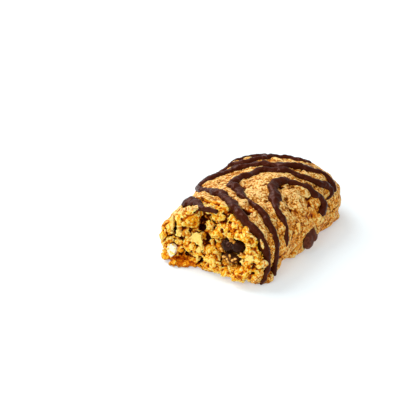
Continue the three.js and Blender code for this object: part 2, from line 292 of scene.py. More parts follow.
def domes(x, z, size):
    """Rounded domes packed over a plane: 1 on a dome's top, 0 in the creases."""
    column, level = np.floor(x / size), np.floor(z / size)
    nearest = np.ones(np.broadcast(x, z).shape)
    for di in (-1, 0, 1):
        for dk in (-1, 0, 1):
            i, k = column + di, level + dk
            centre_x = (i + 0.5 + DOME_DRIFT * (2 * corner_value(i, DRIFT_ROWS[0], k) - 1)) * size
            centre_z = (k + 0.5 + DOME_DRIFT * (2 * corner_value(i, DRIFT_ROWS[1], k) - 1)) * size
            nearest = np.minimum(nearest, ((x - centre_x) ** 2 + (z - centre_z) ** 2) / size**2)
    return 1 - nearest


print("domes along a line:", np.round(domes(np.arange(0, 9, 3.0), np.zeros(3), 3.0), 2))

# %% [markdown]
# ## The loaf as a skin
#
# The skin is a row of rings. Each ring is one cross-section, from the base edge on one side over
# the arch to the other side and back along the flat base. The loaf is made longer at the broken
# end than it is, because the break is cut into it afterwards.

# %% A point of the smooth loaf
BELLY_ANGLE = 90
BASE_ANGLE = 120


def base_step(side, y):
    return sum(np.where(side == at, out * np.exp(-(((y - middle) / reach) ** 2)), 0)
               for at, middle, reach, out in BASE_STEPS)


def loaf_point(angle, y):
    """Points of the smooth loaf. The angle is 0 at the crest, 90 at the belly, 120 at the base edge."""
    angle, y = np.broadcast_arrays(np.asarray(angle, float), np.asarray(y, float))
    share = np.clip((y - END_START) / END_REACH, 0, 1)
    half = HALF_WIDTH * (1 - share**END_PLAN_POWER) ** (1 / END_PLAN_POWER)
    rise = ARCH_RISE * (1 - share**END_SIDE_POWER) ** (1 / END_SIDE_POWER)
    side = np.sign(angle)
    turn = np.radians(np.minimum(np.abs(angle), BELLY_ANGLE))
    under = np.clip((np.abs(angle) - BELLY_ANGLE) / (BASE_ANGLE - BELLY_ANGLE), 0, 1) * np.pi / 2
    over_x = half * np.sin(turn) ** (2 / ARCH_POWER)
    over_z = BELLY_HEIGHT + rise * np.maximum(np.cos(turn), 0) ** (2 / ARCH_POWER)
    under_x = half * (1 - BASE_INSET * (1 - np.cos(under)))
    under_x = under_x + base_step(side, y) * np.sin(under) * half / HALF_WIDTH
    below = np.abs(angle) > BELLY_ANGLE
    x = side * np.where(below, under_x, over_x)
    z = np.where(below, BELLY_HEIGHT * (1 - np.sin(under)), over_z)
    return np.stack([x, y, z], -1)


print("smooth crest:", np.round(loaf_point(0, 0), 2), "belly:", np.round(loaf_point(BELLY_ANGLE, 0), 2))

# %% A point of the uneven crust
TINY = 1e-9


def crust_point(angle, y):
    """The same points with the loaf's lumps, dents and swells, which push them away from its spine."""
    point = loaf_point(angle, y)
    zero = 0 * point[..., 0]
    spine = np.stack([zero, np.minimum(point[..., 1], END_START), zero + BELLY_HEIGHT], -1)
    outward = point - spine
    outward /= np.maximum(np.linalg.norm(outward, axis=-1, keepdims=True), TINY)
    height = sum(reach * swell(point[..., 0], point[..., 1], point[..., 2], size) for size, reach in LUMPS)
    for at, middle, around, along, out in CRUST_FORMS:
        form = -(((angle - at) / around) ** 2) - ((point[..., 1] - middle) / along) ** 2
        height = height + out * np.exp(form)
    fade = ramp(point[..., 2], 0, RELIEF_FADE)
    return point + outward * (height * fade)[..., None]


print("crest:", np.round(crust_point(0, 0), 2), "belly:", np.round(crust_point(BELLY_ANGLE, 0), 2))

# %% Rings of the skin
SKIN_START = -36.0
SKIN_STEP = 0.6
SKIN_COLUMNS = 200
SKIN_BASE_COLUMNS = 12
END_RINGS = 36


def skin_rings():
    """The cross-sections, closer together where the closed end turns in."""
    straight = np.arange(SKIN_START, END_START, SKIN_STEP)
    turn = np.linspace(0, np.pi / 2, END_RINGS, endpoint=False)
    stations = np.concatenate([straight, END_START + END_REACH * np.sin(turn) ** (2 / END_PLAN_POWER)])
    angles = np.linspace(-BASE_ANGLE, BASE_ANGLE, SKIN_COLUMNS + 1)
    arch = crust_point(angles[None, :], stations[:, None])
    across = (np.arange(1, SKIN_BASE_COLUMNS) / SKIN_BASE_COLUMNS)[None, :, None]
    base = arch[:, -1:] * (1 - across) + arch[:, :1] * across
    return np.concatenate([arch, base], 1)


def closed_skin(rings):
    """Points, quads and triangles of the skin, with a fan of triangles over each end."""
    count, around = rings.shape[:2]
    points = rings.reshape(-1, 3)
    ends = [points[:around].mean(0), np.array([0, BACK, BELLY_HEIGHT / 2])]
    here = np.arange(around)
    beside = (here + 1) % around
    quads = []
    for ring in range(count - 1):
        low, high = ring * around, (ring + 1) * around
        quads.append(np.stack([here + low, beside + low, beside + high, here + high], 1))
    first, last = len(points), len(points) + 1
    last_ring = (count - 1) * around
    triangles = [np.stack([beside, here, here * 0 + first], 1),
                 np.stack([here + last_ring, beside + last_ring, here * 0 + last], 1)]
    return np.vstack([points, ends]), np.concatenate(quads), np.concatenate(triangles)


skin_points, skin_quads, skin_triangles = closed_skin(skin_rings())
print("skin:", len(skin_points), "points,", len(skin_quads), "quads")

# %% [markdown]
# ## Volumes
#
# A volume is a block of small cubes. The finer they are, the smaller the crumb that survives, and
# the more faces the mesh gets. The broken end is looked at closely, so its cubes are a sixth of a
# millimetre wide, and the rest of the loaf makes do with a quarter. A third, coarse block holds the
# whole loaf: scattered places are picked by its distances, so that both fine blocks pick the same
# ones and the pebbles run on over the seam.

# %% A block of space


class Block:
    """A block of space from low to high in mm, cut into cubes. A field has a value per corner."""

    def __init__(self, low, high, cube):
        self.low = np.array(low, float)
        self.high = np.array(high, float)
        self.cube = cube
        self.shape = tuple(int(n) for n in np.ceil((self.high - low) / cube) + 1)
        self.axes = [self.low[a] + cube * np.arange(self.shape[a], dtype=np.float32) for a in range(3)]
        self.x, self.y, self.z = np.meshgrid(*self.axes, indexing="ij", sparse=True)

    def window(self, centre, reach):
        """The slices around a point and the offsets from it. Both are empty outside the block."""
        slices, offsets = [], []
        for a in range(3):
            start = math.floor((centre[a] - reach - self.low[a]) / self.cube)
            stop = math.floor((centre[a] + reach - self.low[a]) / self.cube) + 1
            start, stop = [min(max(edge, 0), self.shape[a]) for edge in (start, stop)]
            slices.append(slice(start, stop))
            shape = [1, 1, 1]
            shape[a] = stop - start
            offsets.append((self.axes[a][start:stop] - centre[a]).reshape(shape))
        return tuple(slices), offsets

    def sample(self, field, points):
        """The field's values at points, by straight lines between the corners."""
        place = (points - self.low) / self.cube
        corner = np.clip(np.floor(place).astype(int), 0, np.array(self.shape) - 2)
        u, v, w = np.clip(place - corner, 0, 1).T
        i, j, k = corner.T
        total = 0
        for di, across in LOW_AND_HIGH:
            for dj, along in LOW_AND_HIGH:
                for dk, up in LOW_AND_HIGH:
                    total = total + across(u) * along(v) * up(w) * field[i + di, j + dj, k + dk]
        return total


LEFT, RIGHT = -20.5, 20.5
TOP = 22
UNDER_BASE = -0.8
SPLIT_Y = -19.6
SHARED = 1.2  # the blocks of the two pieces overlap by this much on each side of the split
end_block = Block((LEFT, -32.2, UNDER_BASE), (RIGHT, SPLIT_Y + SHARED, TOP), cube=0.17)
loaf_block = Block((LEFT, SPLIT_Y - SHARED, UNDER_BASE), (RIGHT, 31, TOP), cube=0.25)
whole_block = Block((-22, -38, -3), (22, 34, 25), cube=0.5)
print("broken end:", end_block.shape, "cubes, loaf:", loaf_block.shape, "cubes")

# %% Distance to the skin
SKIN_REACH = 2.4


def distance_to_skin(block):
    """Distance from the skin at each corner of the block, negative inside, cut off at SKIN_REACH."""
    scale = openvdb.createLinearTransform(voxelSize=block.cube)
    volume = openvdb.FloatGrid.createLevelSetFromPolygons(
        (skin_points - block.low).astype(np.float32), triangles=skin_triangles.astype(np.uint32),
        quads=skin_quads.astype(np.uint32), transform=scale, halfWidth=SKIN_REACH / block.cube)
    field = np.empty(block.shape, np.float32)
    volume.copyToArray(field)
    return field


whole_skin = distance_to_skin(whole_block)
end_skin = distance_to_skin(end_block)
loaf_skin = distance_to_skin(loaf_block)
print("inside the skin:", round(float((end_skin < 0).mean()), 3), "of the end block,",
      round(float((loaf_skin < 0).mean()), 3), "of the loaf block")

# %% Noise over a whole block
SEED_STRIDE = 101


def swell_over(block, size, seed):
    """Smooth noise from -1 to 1 at every corner of a block, worked out one axis at a time."""
    weights, corners = [], []
    for axis in block.axes:
        place = axis / size
        first = math.floor(place[0])
        count = math.floor(place[-1]) + 2 - first
        low = np.floor(place).astype(int)
        share = ease(place - low)
        weight = np.zeros((len(axis), count), np.float32)
        weight[np.arange(len(axis)), low - first] = 1 - share
        weight[np.arange(len(axis)), low - first + 1] += share
        weights.append(weight)
        corners.append(first + np.arange(count))
    i, j, k = np.meshgrid(*corners, indexing="ij", sparse=True)
    field = corner_value(i + SEED_STRIDE * seed, j, k).astype(np.float32)
    for weight in weights:
        field = np.tensordot(field, weight, axes=(0, 1))
    return 2 * field - 1


def swells_over(block, layers):
    """The sum of some swells, each given by its size, its height and its seed."""
    return sum(height * swell_over(block, size, seed) for size, height, seed in layers)


spread = float(swells_over(loaf_block, [(2.0, 1.0, 1)]).std())
print("swell over the loaf block:", round(spread, 3), "spread")

# %% Softening a field


def blur(field, reach):
    """The mean of the field over about reach cubes each way, by running sums, taken twice."""
    count = 2 * reach + 1
    for axis in range(3):
        padding = [(0, 0)] * 3
        padding[axis] = (reach + 1, reach)
        ends = [slice(None)] * 3
        starts = [slice(None)] * 3
        ends[axis] = slice(count, None)
        starts[axis] = slice(None, -count)
        for _ in range(2):
            total = np.cumsum(np.pad(field, padding, mode="edge"), axis=axis, dtype=np.float32)
            field = (total[tuple(ends)] - total[tuple(starts)]) / count
    return field


step = np.zeros((8, 1, 1), np.float32)
step[4:] = 1
print("a hard step, softened:", np.round(blur(step, 1)[:, 0, 0], 2))

# %% [markdown]
# ## Pebbles of dough on the crust
#
# Under the oven's heat the dough's grains fuse, and the crust keeps their round tops: lumps of two
# or three millimetres with finer ones between, shallow pits where a grain came off, and short
# cracks. Each pebble is a dome around a scattered point, and the nearest point wins. Domes of one
# size would look like cobblestones, so each one has its own width, and is flattened its own way.

# %% Scattered places
SHIFT_SEEDS = 7919


def scatter(block, spacing, seed, accept, edge=0.0):
    """One point in each cell of a jittered lattice that all blocks share, kept where accept says so.

    Each row is x, y, z and a fixed random number of its own."""
    first = np.floor((block.low - edge) / spacing)
    last = np.ceil((block.high + edge) / spacing)
    counts = [np.arange(a, b) for a, b in zip(first, last)]
    cells = np.stack(np.meshgrid(*counts, indexing="ij"), -1).reshape(-1, 3)
    i, j, k = cells.T
    shifts = np.stack([corner_value(i, j, k + SHIFT_SEEDS * (4 * seed + n)) for n in range(4)], -1)
    points = (cells + shifts[:, :3]) * spacing
    kept = accept(points)
    return np.hstack([points[kept], shifts[kept, 3:]])


def near(block, field, low, high):
    """A test that says of points whether the field's value there lies between low and high."""
    def test(points):
        value = block.sample(field, points)
        return (value > low) & (value < high)
    return test


print(len(scatter(end_block, 5.0, 40, near(whole_block, whole_skin, -2.5, 2.5))), "places near the skin")

# %% Domes round scattered places
LEAST_WIDTH = 0.7
MORE_WIDTH = 0.5
MOST_THINNING = 2.2


def another(own, times):
    """One more random number from 0 to 1, made from the one that a place has."""
    return times * own % 1


def warp(block, size, reach, seed):
    """Three swells that push places aside, so that what is stamped loses its regular outline."""
    return [reach * swell_over(block, size, seed + axis) for axis in range(3)]


def scaled(fields, share):
    return [share * field for field in fields]


def pebbles(block, places, size, aside):
    """Domes round the places, and the creases between them.

    The first field is 1 on a dome's middle and 0 from its edge on. The second is the gap between the
    nearest and the next dome, near 0 along a crease. The third is a random number for each dome."""
    nearest = np.ones(block.shape, np.float32)
    second = np.ones(block.shape, np.float32)
    number = np.full(block.shape, 0.5, np.float32)
    for *point, own in places:
        wide = LEAST_WIDTH + MORE_WIDTH * another(own, 37.7)
        slices, offsets = block.window(point, size * wide)
        dx, dy, dz = [offset + push[slices] for offset, push in zip(offsets, aside)]
        thin = MOST_THINNING * another(own, 17.3)
        way = 2 * math.pi * another(own, 91.7)
        lean = 2 * another(own, 53.3) - 1
        level = math.sqrt(1 - lean * lean)
        across = level * math.cos(way) * dx + level * math.sin(way) * dy + lean * dz
        there = (dx * dx + dy * dy + dz * dz + thin * across * across) / (size * wide) ** 2
        there = np.minimum(there, 1)
        here = nearest[slices]
        second[slices] = np.minimum(second[slices], np.maximum(here, there))
        number[slices] = np.where(there < here, own, number[slices])
        nearest[slices] = np.minimum(here, there)
    return 1 - nearest, np.sqrt(second) - np.sqrt(nearest), number


print("pebbles are", LEAST_WIDTH, "to", LEAST_WIDTH + MORE_WIDTH, "of their size wide")

# %% Pebbles and grit of the crust
# size, height, cubes of softening, and how much the pebble's own tone counts
PEBBLES = [(5.0, 1.2, 2, 0.2), (2.8, 0.75, 2, 0.3), (1.3, 0.34, 1, 0.4), (0.8, 0.17, 0, 0.3)]
PEBBLE_SEED = 40
PEBBLE_REACH = 0.5    # places lie within this share of the pebble's size from the skin
PEBBLE_LEVEL = 0.55   # a dome stands out where it is higher than this, and sinks in elsewhere
PEBBLE_SHARE = (0.45, 1.1)
FULL_WARP_SIZE = 2.8  # pebbles of this size and more are pushed aside in full
GRIT = [(1.4, 0.10), (0.8, 0.09), (0.5, 0.08)]
GRIT_SEED = 70
RUGGED_SIZE = 3.4     # smooth and rugged areas of the crust take turns at about this size
RUGGED_SEED = 83
RUGGED_STEP = (-0.6, 0.5)


def pebbled(block, aside):
    """Height and tone of the crust's pebbles and grit."""
    height = sum(reach * swell_over(block, size, GRIT_SEED + order)
                 for order, (size, reach) in enumerate(GRIT))
    rugged = ramp(swell_over(block, RUGGED_SIZE, RUGGED_SEED), *RUGGED_STEP)
    tone = 0.5
    for order, (size, reach, softening, weight) in enumerate(PEBBLES):
        beside_skin = near(whole_block, whole_skin, -PEBBLE_REACH * size, PEBBLE_REACH * size)
        places = scatter(block, size, PEBBLE_SEED + order, beside_skin, size)
        push = scaled(aside, min(1, size / FULL_WARP_SIZE))
        dome, _, number = pebbles(block, places, size, push)
        mound = (dome - PEBBLE_LEVEL) * (PEBBLE_SHARE[0] + PEBBLE_SHARE[1] * number)
        if softening:
            mound = blur(mound, softening)
        height += reach * mound * (1 if size > FULL_WARP_SIZE else rugged)
        tone = tone + (number - 0.5) * weight
    return height, tone


print(len(PEBBLES), "sizes of pebbles,", len(GRIT), "of grit")

# %% Cracks and pits of the crust
CRACK_SIZE = 6.0
CRACK_DEPTH = 0.5
CRACK_REACH = 2.3
CRACK_WIDTH = 0.08
CRACK_SEED = 48
CRACKED_SIZE = 4.0
CRACKED_SEED = 5
CRACKED_STEP = (0.05, 0.45)
PIT_SPACING = 1.35
PIT_DEPTH = 0.75
PIT_SEED = 49
PIT_OFF_SKIN = 0.25
PIT_SIZE = (0.2, 0.35)


def crack(block, height, aside):
    """Lowers the height along some of the creases between large domes."""
    beside_skin = near(whole_block, whole_skin, -CRACK_REACH, CRACK_REACH)
    places = scatter(block, CRACK_SIZE, CRACK_SEED, beside_skin, CRACK_SIZE)
    _, crease, _ = pebbles(block, places, CRACK_SIZE, aside)
    cracked = ramp(swell_over(block, CRACKED_SIZE, CRACKED_SEED), *CRACKED_STEP)
    height -= CRACK_DEPTH * ramp(crease, CRACK_WIDTH, 0.0) * cracked


def pit(block, height):
    """Lowers the height in small round pits."""
    on_skin = near(whole_block, whole_skin, -PIT_OFF_SKIN, PIT_OFF_SKIN)
    for *place, own in scatter(block, PIT_SPACING, PIT_SEED, on_skin, 2):
        size = PIT_SIZE[0] + PIT_SIZE[1] * own * own
        slices, (dx, dy, dz) = block.window(place, 3 * size)
        height[slices] -= PIT_DEPTH * size * np.exp(-(dx * dx + dy * dy + dz * dz) / (0.5 * size * size))


print("pits of", PIT_SIZE[0], "to", round(sum(PIT_SIZE), 2), "mm, cracks", CRACK_DEPTH, "mm deep")

# %% Bumps and hollows that stand out on this crust
# x, y, z, reach, height
CRUST_SPOTS = [
    (11.9, -5.4, 16.8, 0.9, -1.5),
    (12.6, -6.7, 16.4, 0.7, -1.2),
    (12.7, -9.0, 16.6, 1.3, 0.8),
    (15.6, 2.2, 13.9, 1.1, -1.6),
    (16.1, 0.6, 13.6, 0.8, -1.0),
    (17.9, 1.6, 10.4, 0.9, -1.0),
    (13.1, -1.4, 16.4, 1.6, 0.7),
    (14.6, -4.2, 14.9, 1.5, 0.5),
    (6.6, -10.3, 18.1, 1.6, 0.9),
    (8.6, -11.0, 17.9, 0.8, -1.2),
    (16.0, -14.0, 13.6, 1.6, 0.6),
    (17.6, -15.6, 8.0, 1.6, 0.5),
    (18.0, -5.4, 8.2, 1.2, 0.6),
    (17.8, 4.6, 8.2, 1.6, 0.7),
    (17.4, 8.6, 6.0, 1.6, 0.8),
    (16.8, 13.2, 4.4, 1.5, 0.8),
    (14.6, 17.8, 8.2, 1.6, 0.8),
    (15.4, 15.2, 6.2, 0.9, -1.0),
    (12.6, 21.0, 6.4, 1.5, 0.7),
    (16.9, 11.0, 9.4, 0.9, -0.9),
]
SPOT_WARP = 2.6
SPOT_EDGE = 1.5  # 1 is a soft hill, and more makes its top flatter and its sides steeper
SPOT_WINDOW = 2.5


def add_spots(block, height, aside):
    for x, y, z, reach, out in CRUST_SPOTS:
        slices, offsets = block.window((x, y, z), SPOT_WINDOW * reach)
        dx, dy, dz = [offset + SPOT_WARP * push[slices] for offset, push in zip(offsets, aside)]
        height[slices] += out * np.exp(-((dx * dx + dy * dy + dz * dz) / reach**2) ** SPOT_EDGE)


print(len(CRUST_SPOTS), "bumps and hollows")

# %% [markdown]
# ## The base
#
# The loaf was baked on a flat sheet, so its base is flat too, with shallow pores where the dough
# didn't touch the metal. The crust's relief fades out at the base and the pores take its place:
# each layer of pores is a swell that presses in only where it rises above a level.

# %% Relief of crust and base together
# size, level above which a swell presses into the base, and depth
BASE_PORES = [(5.0, 0.1, 0.5), (1.6, 0.15, 0.7), (0.8, 0.2, 0.6)]
PORE_SEED = 90
BASE_FADE = 1.0
CRUST_WARP = {"size": 1.1, "reach": 0.3, "seed": 61}
PERCENTS = [5, 50, 95]
NEAR_SURFACE = 0.3


def crust_relief(block):
    """Height of the crust above the skin, and a tone for each pebble."""
    aside = warp(block, **CRUST_WARP)
    height, tone = pebbled(block, aside)
    crack(block, height, aside)
    pit(block, height)
    add_spots(block, height, aside)
    above_base = ramp(block.z, 0, BASE_FADE)
    pores = sum(deep * np.maximum(swell_over(block, size, PORE_SEED + order) - level, 0)
                for order, (size, level, deep) in enumerate(BASE_PORES))
    height = height * above_base - pores * (1 - above_base)
    return height.astype(np.float32), tone.astype(np.float32)


loaf_height, loaf_tone = crust_relief(loaf_block)
end_height, end_tone = crust_relief(end_block)
loaf_field = loaf_skin - loaf_height
relief = loaf_height[np.abs(loaf_skin) < NEAR_SURFACE]
print("crust relief:", np.round(np.percentile(relief, PERCENTS), 2), "mm")

# %% [markdown]
# ## The break
#
# Soft-baked dough doesn't cut clean. It parts along its grains, so the face is a landscape of
# clumps with dark gaps between them. The large forms come first, as a depth map over the face. Then
# come lumps on the clumps and creases between them, loose angular grains stuck on the lumps, and
# holes where a grain stayed in the other half.

# %% Depth map of the face
# x, z, reach across, reach up, height out of the face
FACE_FORMS = [
    (-3.5, 15.2, 1.9, 2.7, -5.2),    # deep hole under the first strand
    (-12.6, 10.6, 0.9, 2.6, -2.4),   # split beside the left crust
    (5.5, 20.5, 6.5, 4.6, -6.2),     # top edge crumbled away
    (10.5, 5, 6.5, 3.4, 2.2),        # lower right swells forward
    (9, 0, 8.5, 2, -2.0),            # over a base edge drawn back
    (6.3, 1.6, 2.8, 1.9, 2.4),
    (7, -0.5, 7, 0.9, -1.5),
    (-9.5, 0.4, 5, 1.5, 1.3),        # lip of base crust on the left
    (-8.5, 3.2, 4.5, 1.1, -1.9),     # dark hollows above that lip
    (6.4, 6.4, 3.4, 1.7, -1.4),      # hollow below the chips
    (-1.6, 9.2, 1.6, 3.4, -1.5),     # hollow between flake and chips
]
CLUMPS = [(6.2, 2.3), (3.1, 1.3)]    # size and height of the domes packed over the face
DOME_LEVEL = 0.6


def hills(x, z, forms):
    """The height of soft hills and hollows over the face."""
    return sum(height * np.exp(-(((x - at_x) / wide) ** 2) - ((z - at_z) / tall) ** 2)
               for at_x, at_z, wide, tall, height in forms)


def face_y(x, z):
    """How far back the broken face lies at x and z."""
    out = hills(x, z, FACE_FORMS)
    for size, height in CLUMPS:
        out = out + height * (domes(x, z, size) - DOME_LEVEL)
    return FRONT + FACE_LEAN * z / CREST_HEIGHT - out


print("face at y =", round(float(face_y(0.0, 4.0)[0]), 2), "low down,",
      round(float(face_y(5.0, 17.0)[0]), 2), "at the top")

# %% Distance to the face
LEAST_SLOPE_SHARE = 0.45


def distance_to_face(block):
    """Distance in front of the face, negative inside the bar.

    How far back the face lies is a distance only where the face looks straight ahead. On a slope the
    way to it is shorter, so the depth is scaled by the slope."""
    x, z = np.meshgrid(block.axes[0], block.axes[2], indexing="ij")
    depth = face_y(x.astype(float), z.astype(float))
    slope = np.gradient(depth, block.cube)
    share = np.maximum(1 / np.sqrt(1 + slope[0] ** 2 + slope[1] ** 2), LEAST_SLOPE_SHARE)
    return ((depth[:, None, :] - block.y) * share[:, None, :]).astype(np.float32)


end_face = distance_to_face(end_block)
print("in front of the face:", round(float((end_face > 0).mean()), 3), "of the end block")

# %% Clumps and hollows that stand out on this face
# x, z, reach across, reach up, height out of the face
FACE_MASSES = [
    (-8.8, 14.2, 2.6, 1.6, 1.0),
    (-12.7, 10.3, 1.5, 1.5, 0.7),
    (1.5, 16.7, 2.6, 1.4, 1.2),
    (6.2, 15.4, 2.0, 1.2, 1.0),
    (10.8, 13.6, 2.2, 1.8, 1.1),
    (-15.3, 6.5, 1.5, 2.0, 0.6),
    (-0.4, 7.3, 1.6, 1.2, 0.9),
    (1.8, 5.0, 2.2, 1.1, 1.1),
    (12.7, 3.4, 3.0, 1.7, 1.3),
    (1.3, 12.4, 1.8, 1.5, 1.1),
    (7.1, 13.6, 1.6, 0.9, 1.2),
    (13.6, 8.6, 1.6, 1.4, 0.8),
    (-6.2, 6.4, 1.8, 1.0, 0.9),
    (-11.0, 7.2, 1.2, 0.9, 0.6),
    (-5.0, 12.8, 1.2, 2.4, -1.7),
    (-2.4, 10.0, 1.0, 2.2, -1.5),
    (9.4, 5.8, 2.6, 0.8, -1.6),
    (14.9, 12.6, 0.8, 1.5, -1.1),
    (3.3, 10.4, 0.7, 2.0, -1.1),
    (-8.5, 2.8, 2.2, 0.7, -1.3),
    (-9.3, 8.6, 1.4, 0.5, -0.9),
    (6.6, 7.2, 2.8, 1.2, -1.3),
    (-2.2, 3.1, 2.0, 0.6, -1.1),
    (4.6, 14.0, 1.4, 0.5, -0.9),
]
MASS_SHARE = 1.25
WOBBLE = 0.5
WOBBLE_SIZE = 1.9
WOBBLE_SEED = 40


def masses(block):
    """Height of the clumps, whose outlines wobble."""
    x, z = np.meshgrid(block.axes[0], block.axes[2], indexing="ij")
    x = x + WOBBLE * swell(x, 0 * x, z, WOBBLE_SIZE)
    z = z + WOBBLE * swell(x, 0 * x + WOBBLE_SEED, z, WOBBLE_SIZE)
    return hills(x, z, FACE_MASSES)


end_face -= MASS_SHARE * masses(end_block)[:, None, :].astype(np.float32)
print(len(FACE_MASSES), "clumps and hollows")

# %% Where the crust has come away on top
# x, y, z and half sizes
TORN = [
    (-3.6, -22.6, 19.0, 4.2, 2.6, 3.0),
    (3.6, -24.2, 18.8, 3.6, 2.6, 3.0),
    (-9.5, -22.4, 17.5, 4.8, 3.6, 3.4),
]
TORN_DEPTH = 0.8
TORN_EDGE = 0.25
TORN_EDGE_SIZE = 1.6
TORN_SEED = 71
TORN_STEP = (0.35, 0.65)
UNTORN = 6.0  # elsewhere the crust is this far from being cut


def torn_share(block):
    """1 where the crust is missing and 0 where it is whole."""
    share = 0
    for x, y, z, wide, deep, tall in TORN:
        away = ((block.x - x) / wide) ** 2 + ((block.y - y) / deep) ** 2 + ((block.z - z) / tall) ** 2
        share = share + np.exp(-(away**2))
    ragged = TORN_EDGE * swell_over(block, TORN_EDGE_SIZE, TORN_SEED)
    return ramp(share + ragged, *TORN_STEP).astype(np.float32)


torn = torn_share(end_block)
broken = np.maximum(end_face, end_skin + TORN_DEPTH * torn - UNTORN * (1 - torn))
print("torn:", round(float(torn.mean()), 4), "of the block")

# %% Lumps of the crumb
CRUMB_LUMPS = [(3.0, 1.3), (1.6, 0.85), (0.85, 0.34), (0.5, 0.13)]  # size and height
LUMP_SEED = 31
LUMP_REACH = 0.9
LUMP_LEVEL = 0.45
LUMP_TONE = 0.35
CRUMB_SHRINK = 0.42  # the lumps are added to a face that lies this much further back
CRUMB_SWELLS = [(1.7, 0.15, 14)]  # size, height and seed

crumb_aside = warp(end_block, size=1.0, reach=0.34, seed=64)
crumb = broken + CRUMB_SHRINK + swells_over(end_block, CRUMB_SWELLS)
grain_tone = np.full(end_block.shape, 0.5, np.float32)
for order, (size, reach) in enumerate(CRUMB_LUMPS):
    by_crumb = near(end_block, crumb, -LUMP_REACH * size, LUMP_REACH * size)
    places = scatter(end_block, size, LUMP_SEED + order, by_crumb)
    push = scaled(crumb_aside, min(1, size / FULL_WARP_SIZE))
    dome, _, number = pebbles(end_block, places, size, push)
    crumb -= reach * (dome - LUMP_LEVEL) * (0.5 + number)
    grain_tone += LUMP_TONE * (number - 0.5)
    print(len(places), "lumps of", size, "mm")

# %% Creases between the lumps
CREASE_SIZE = 4.0
CREASE_DEPTH = 1.7
CREASE_WIDTH = 0.38
CREASE_SEED = 37
CREASE_RAGGED = [(0.8, 0.05, 16)]  # size, height and seed
CREASE_BAND = (-5, 4)  # places lie no deeper under the break, and no further in front of it
OPEN_SIZE = 3.5
OPEN_SEED = 15
OPEN_STEP = (-0.2, 0.3)

by_face = near(end_block, broken, *CREASE_BAND)
places = scatter(end_block, CREASE_SIZE, CREASE_SEED, by_face)
_, crease, _ = pebbles(end_block, places, CREASE_SIZE, crumb_aside)
crease = crease + swells_over(end_block, CREASE_RAGGED)
open_crease = ramp(swell_over(end_block, OPEN_SIZE, OPEN_SEED), *OPEN_STEP)
crumb += CREASE_DEPTH * ramp(crease, CREASE_WIDTH, 0.0) * open_crease
relief = (crumb - end_face)[np.abs(crumb) < NEAR_SURFACE]
print("lumps and creases:", np.round(np.percentile(relief, PERCENTS), 2), "mm")

# %% [markdown]
# ## Grains on the break
#
# Torn crumb is rough because whole grains stand out of it. They are crushed oats, so they have flat
# sides and edges. A ball squeezed along three axes and trimmed by random flat sides gives such a
# grain, and hundreds of them are stamped into the volume, each only in a small window round its
# own middle. A soft union runs the dough a little up their sides, as if they were stuck in it.

# %% Turns in space


def random_turn(random):
    """A rotation matrix that points anywhere."""
    q = random.normal(size=4)
    w, x, y, z = q / np.linalg.norm(q)
    return np.array([
        [1 - 2 * (y * y + z * z), 2 * (x * y - z * w), 2 * (x * z + y * w)],
        [2 * (x * y + z * w), 1 - 2 * (x * x + z * z), 2 * (y * z - x * w)],
        [2 * (x * z - y * w), 2 * (y * z + x * w), 1 - 2 * (x * x + y * y)],
    ])


def turn_about_y(degrees):
    c, s = math.cos(math.radians(degrees)), math.sin(math.radians(degrees))
    return np.array([[c, 0, -s], [0, 1, 0], [s, 0, c]])


def lean_back(degrees):
    c, s = math.cos(math.radians(degrees)), math.sin(math.radians(degrees))
    return np.array([[1, 0, 0], [0, c, -s], [0, s, c]])


def along_axes(offsets, turn):
    """The offsets from a grain's middle, measured along the grain's own axes."""
    dx, dy, dz = offsets
    return [turn[a, 0] * dx + turn[a, 1] * dy + turn[a, 2] * dz for a in range(3)]


print("a quarter turn:", np.round(turn_about_y(90), 3).tolist())

# %% Angular grains
GRAIN_SIDES = 9
GRAIN_TRIM = 1.25   # the larger it is, the deeper the flat sides cut
GRAIN_SWELL = 0.9   # below 1 the grain reaches further before it is trimmed
GRAIN_BLEND = 0.1


def random_sides(random, count):
    sides = random.normal(size=(count, 3))
    return sides / np.linalg.norm(sides, axis=1, keepdims=True)


def angular(offsets, half, turn, sides):
    """Rough distance to a turned ellipsoid whose surface is trimmed by flat sides."""
    along = [v / h for v, h in zip(along_axes(offsets, turn), half)]
    reach = np.sqrt(sum(v * v for v in along)) * GRAIN_SWELL
    for a, b, c in sides:
        reach = np.maximum(reach, (a * along[0] + b * along[1] + c * along[2]) * GRAIN_TRIM)
    return (reach - 1) * min(half)


def soft_union(a, b, blend):
    share = np.clip(0.5 + 0.5 * (b - a) / blend, 0, 1)
    return b + (a - b) * share - blend * share * (1 - share)


print("grains have", GRAIN_SIDES, "flat sides")

# %% Grains of the broken face
# spacing, least and most half size, how far their middles lie in and out of the surface, share kept
GRAINS = [
    (1.7, 0.5, 0.9, -0.45, 0.1, 0.55),
    (0.9, 0.3, 0.52, -0.2, 0.15, 0.65),
    (0.55, 0.17, 0.28, -0.1, 0.1, 0.35),
]
GRAIN_SEED = 21
GRAIN_WIDTH = (0.65, 1)  # least and most, as shares of the grain's length
GRAIN_THICKNESS = (0.5, 0.85)
GRAIN_ROUGHNESS = 0.09
ROUGH_SWELLS = [(0.8, 1.0, 11), (0.45, 0.9, 12)]
UNDER_CRUST = 0.2  # grains whose middles are no deeper than this below the skin are left out
TORN_RISE = 0.6    # where the crust is torn they may lie this much higher
MARGIN = 0.6       # room for the soft union round a grain

fine_aside = warp(end_block, size=0.7, reach=0.11, seed=67)
random = np.random.default_rng(7)
rough = GRAIN_ROUGHNESS * swells_over(end_block, ROUGH_SWELLS)
crumb += rough


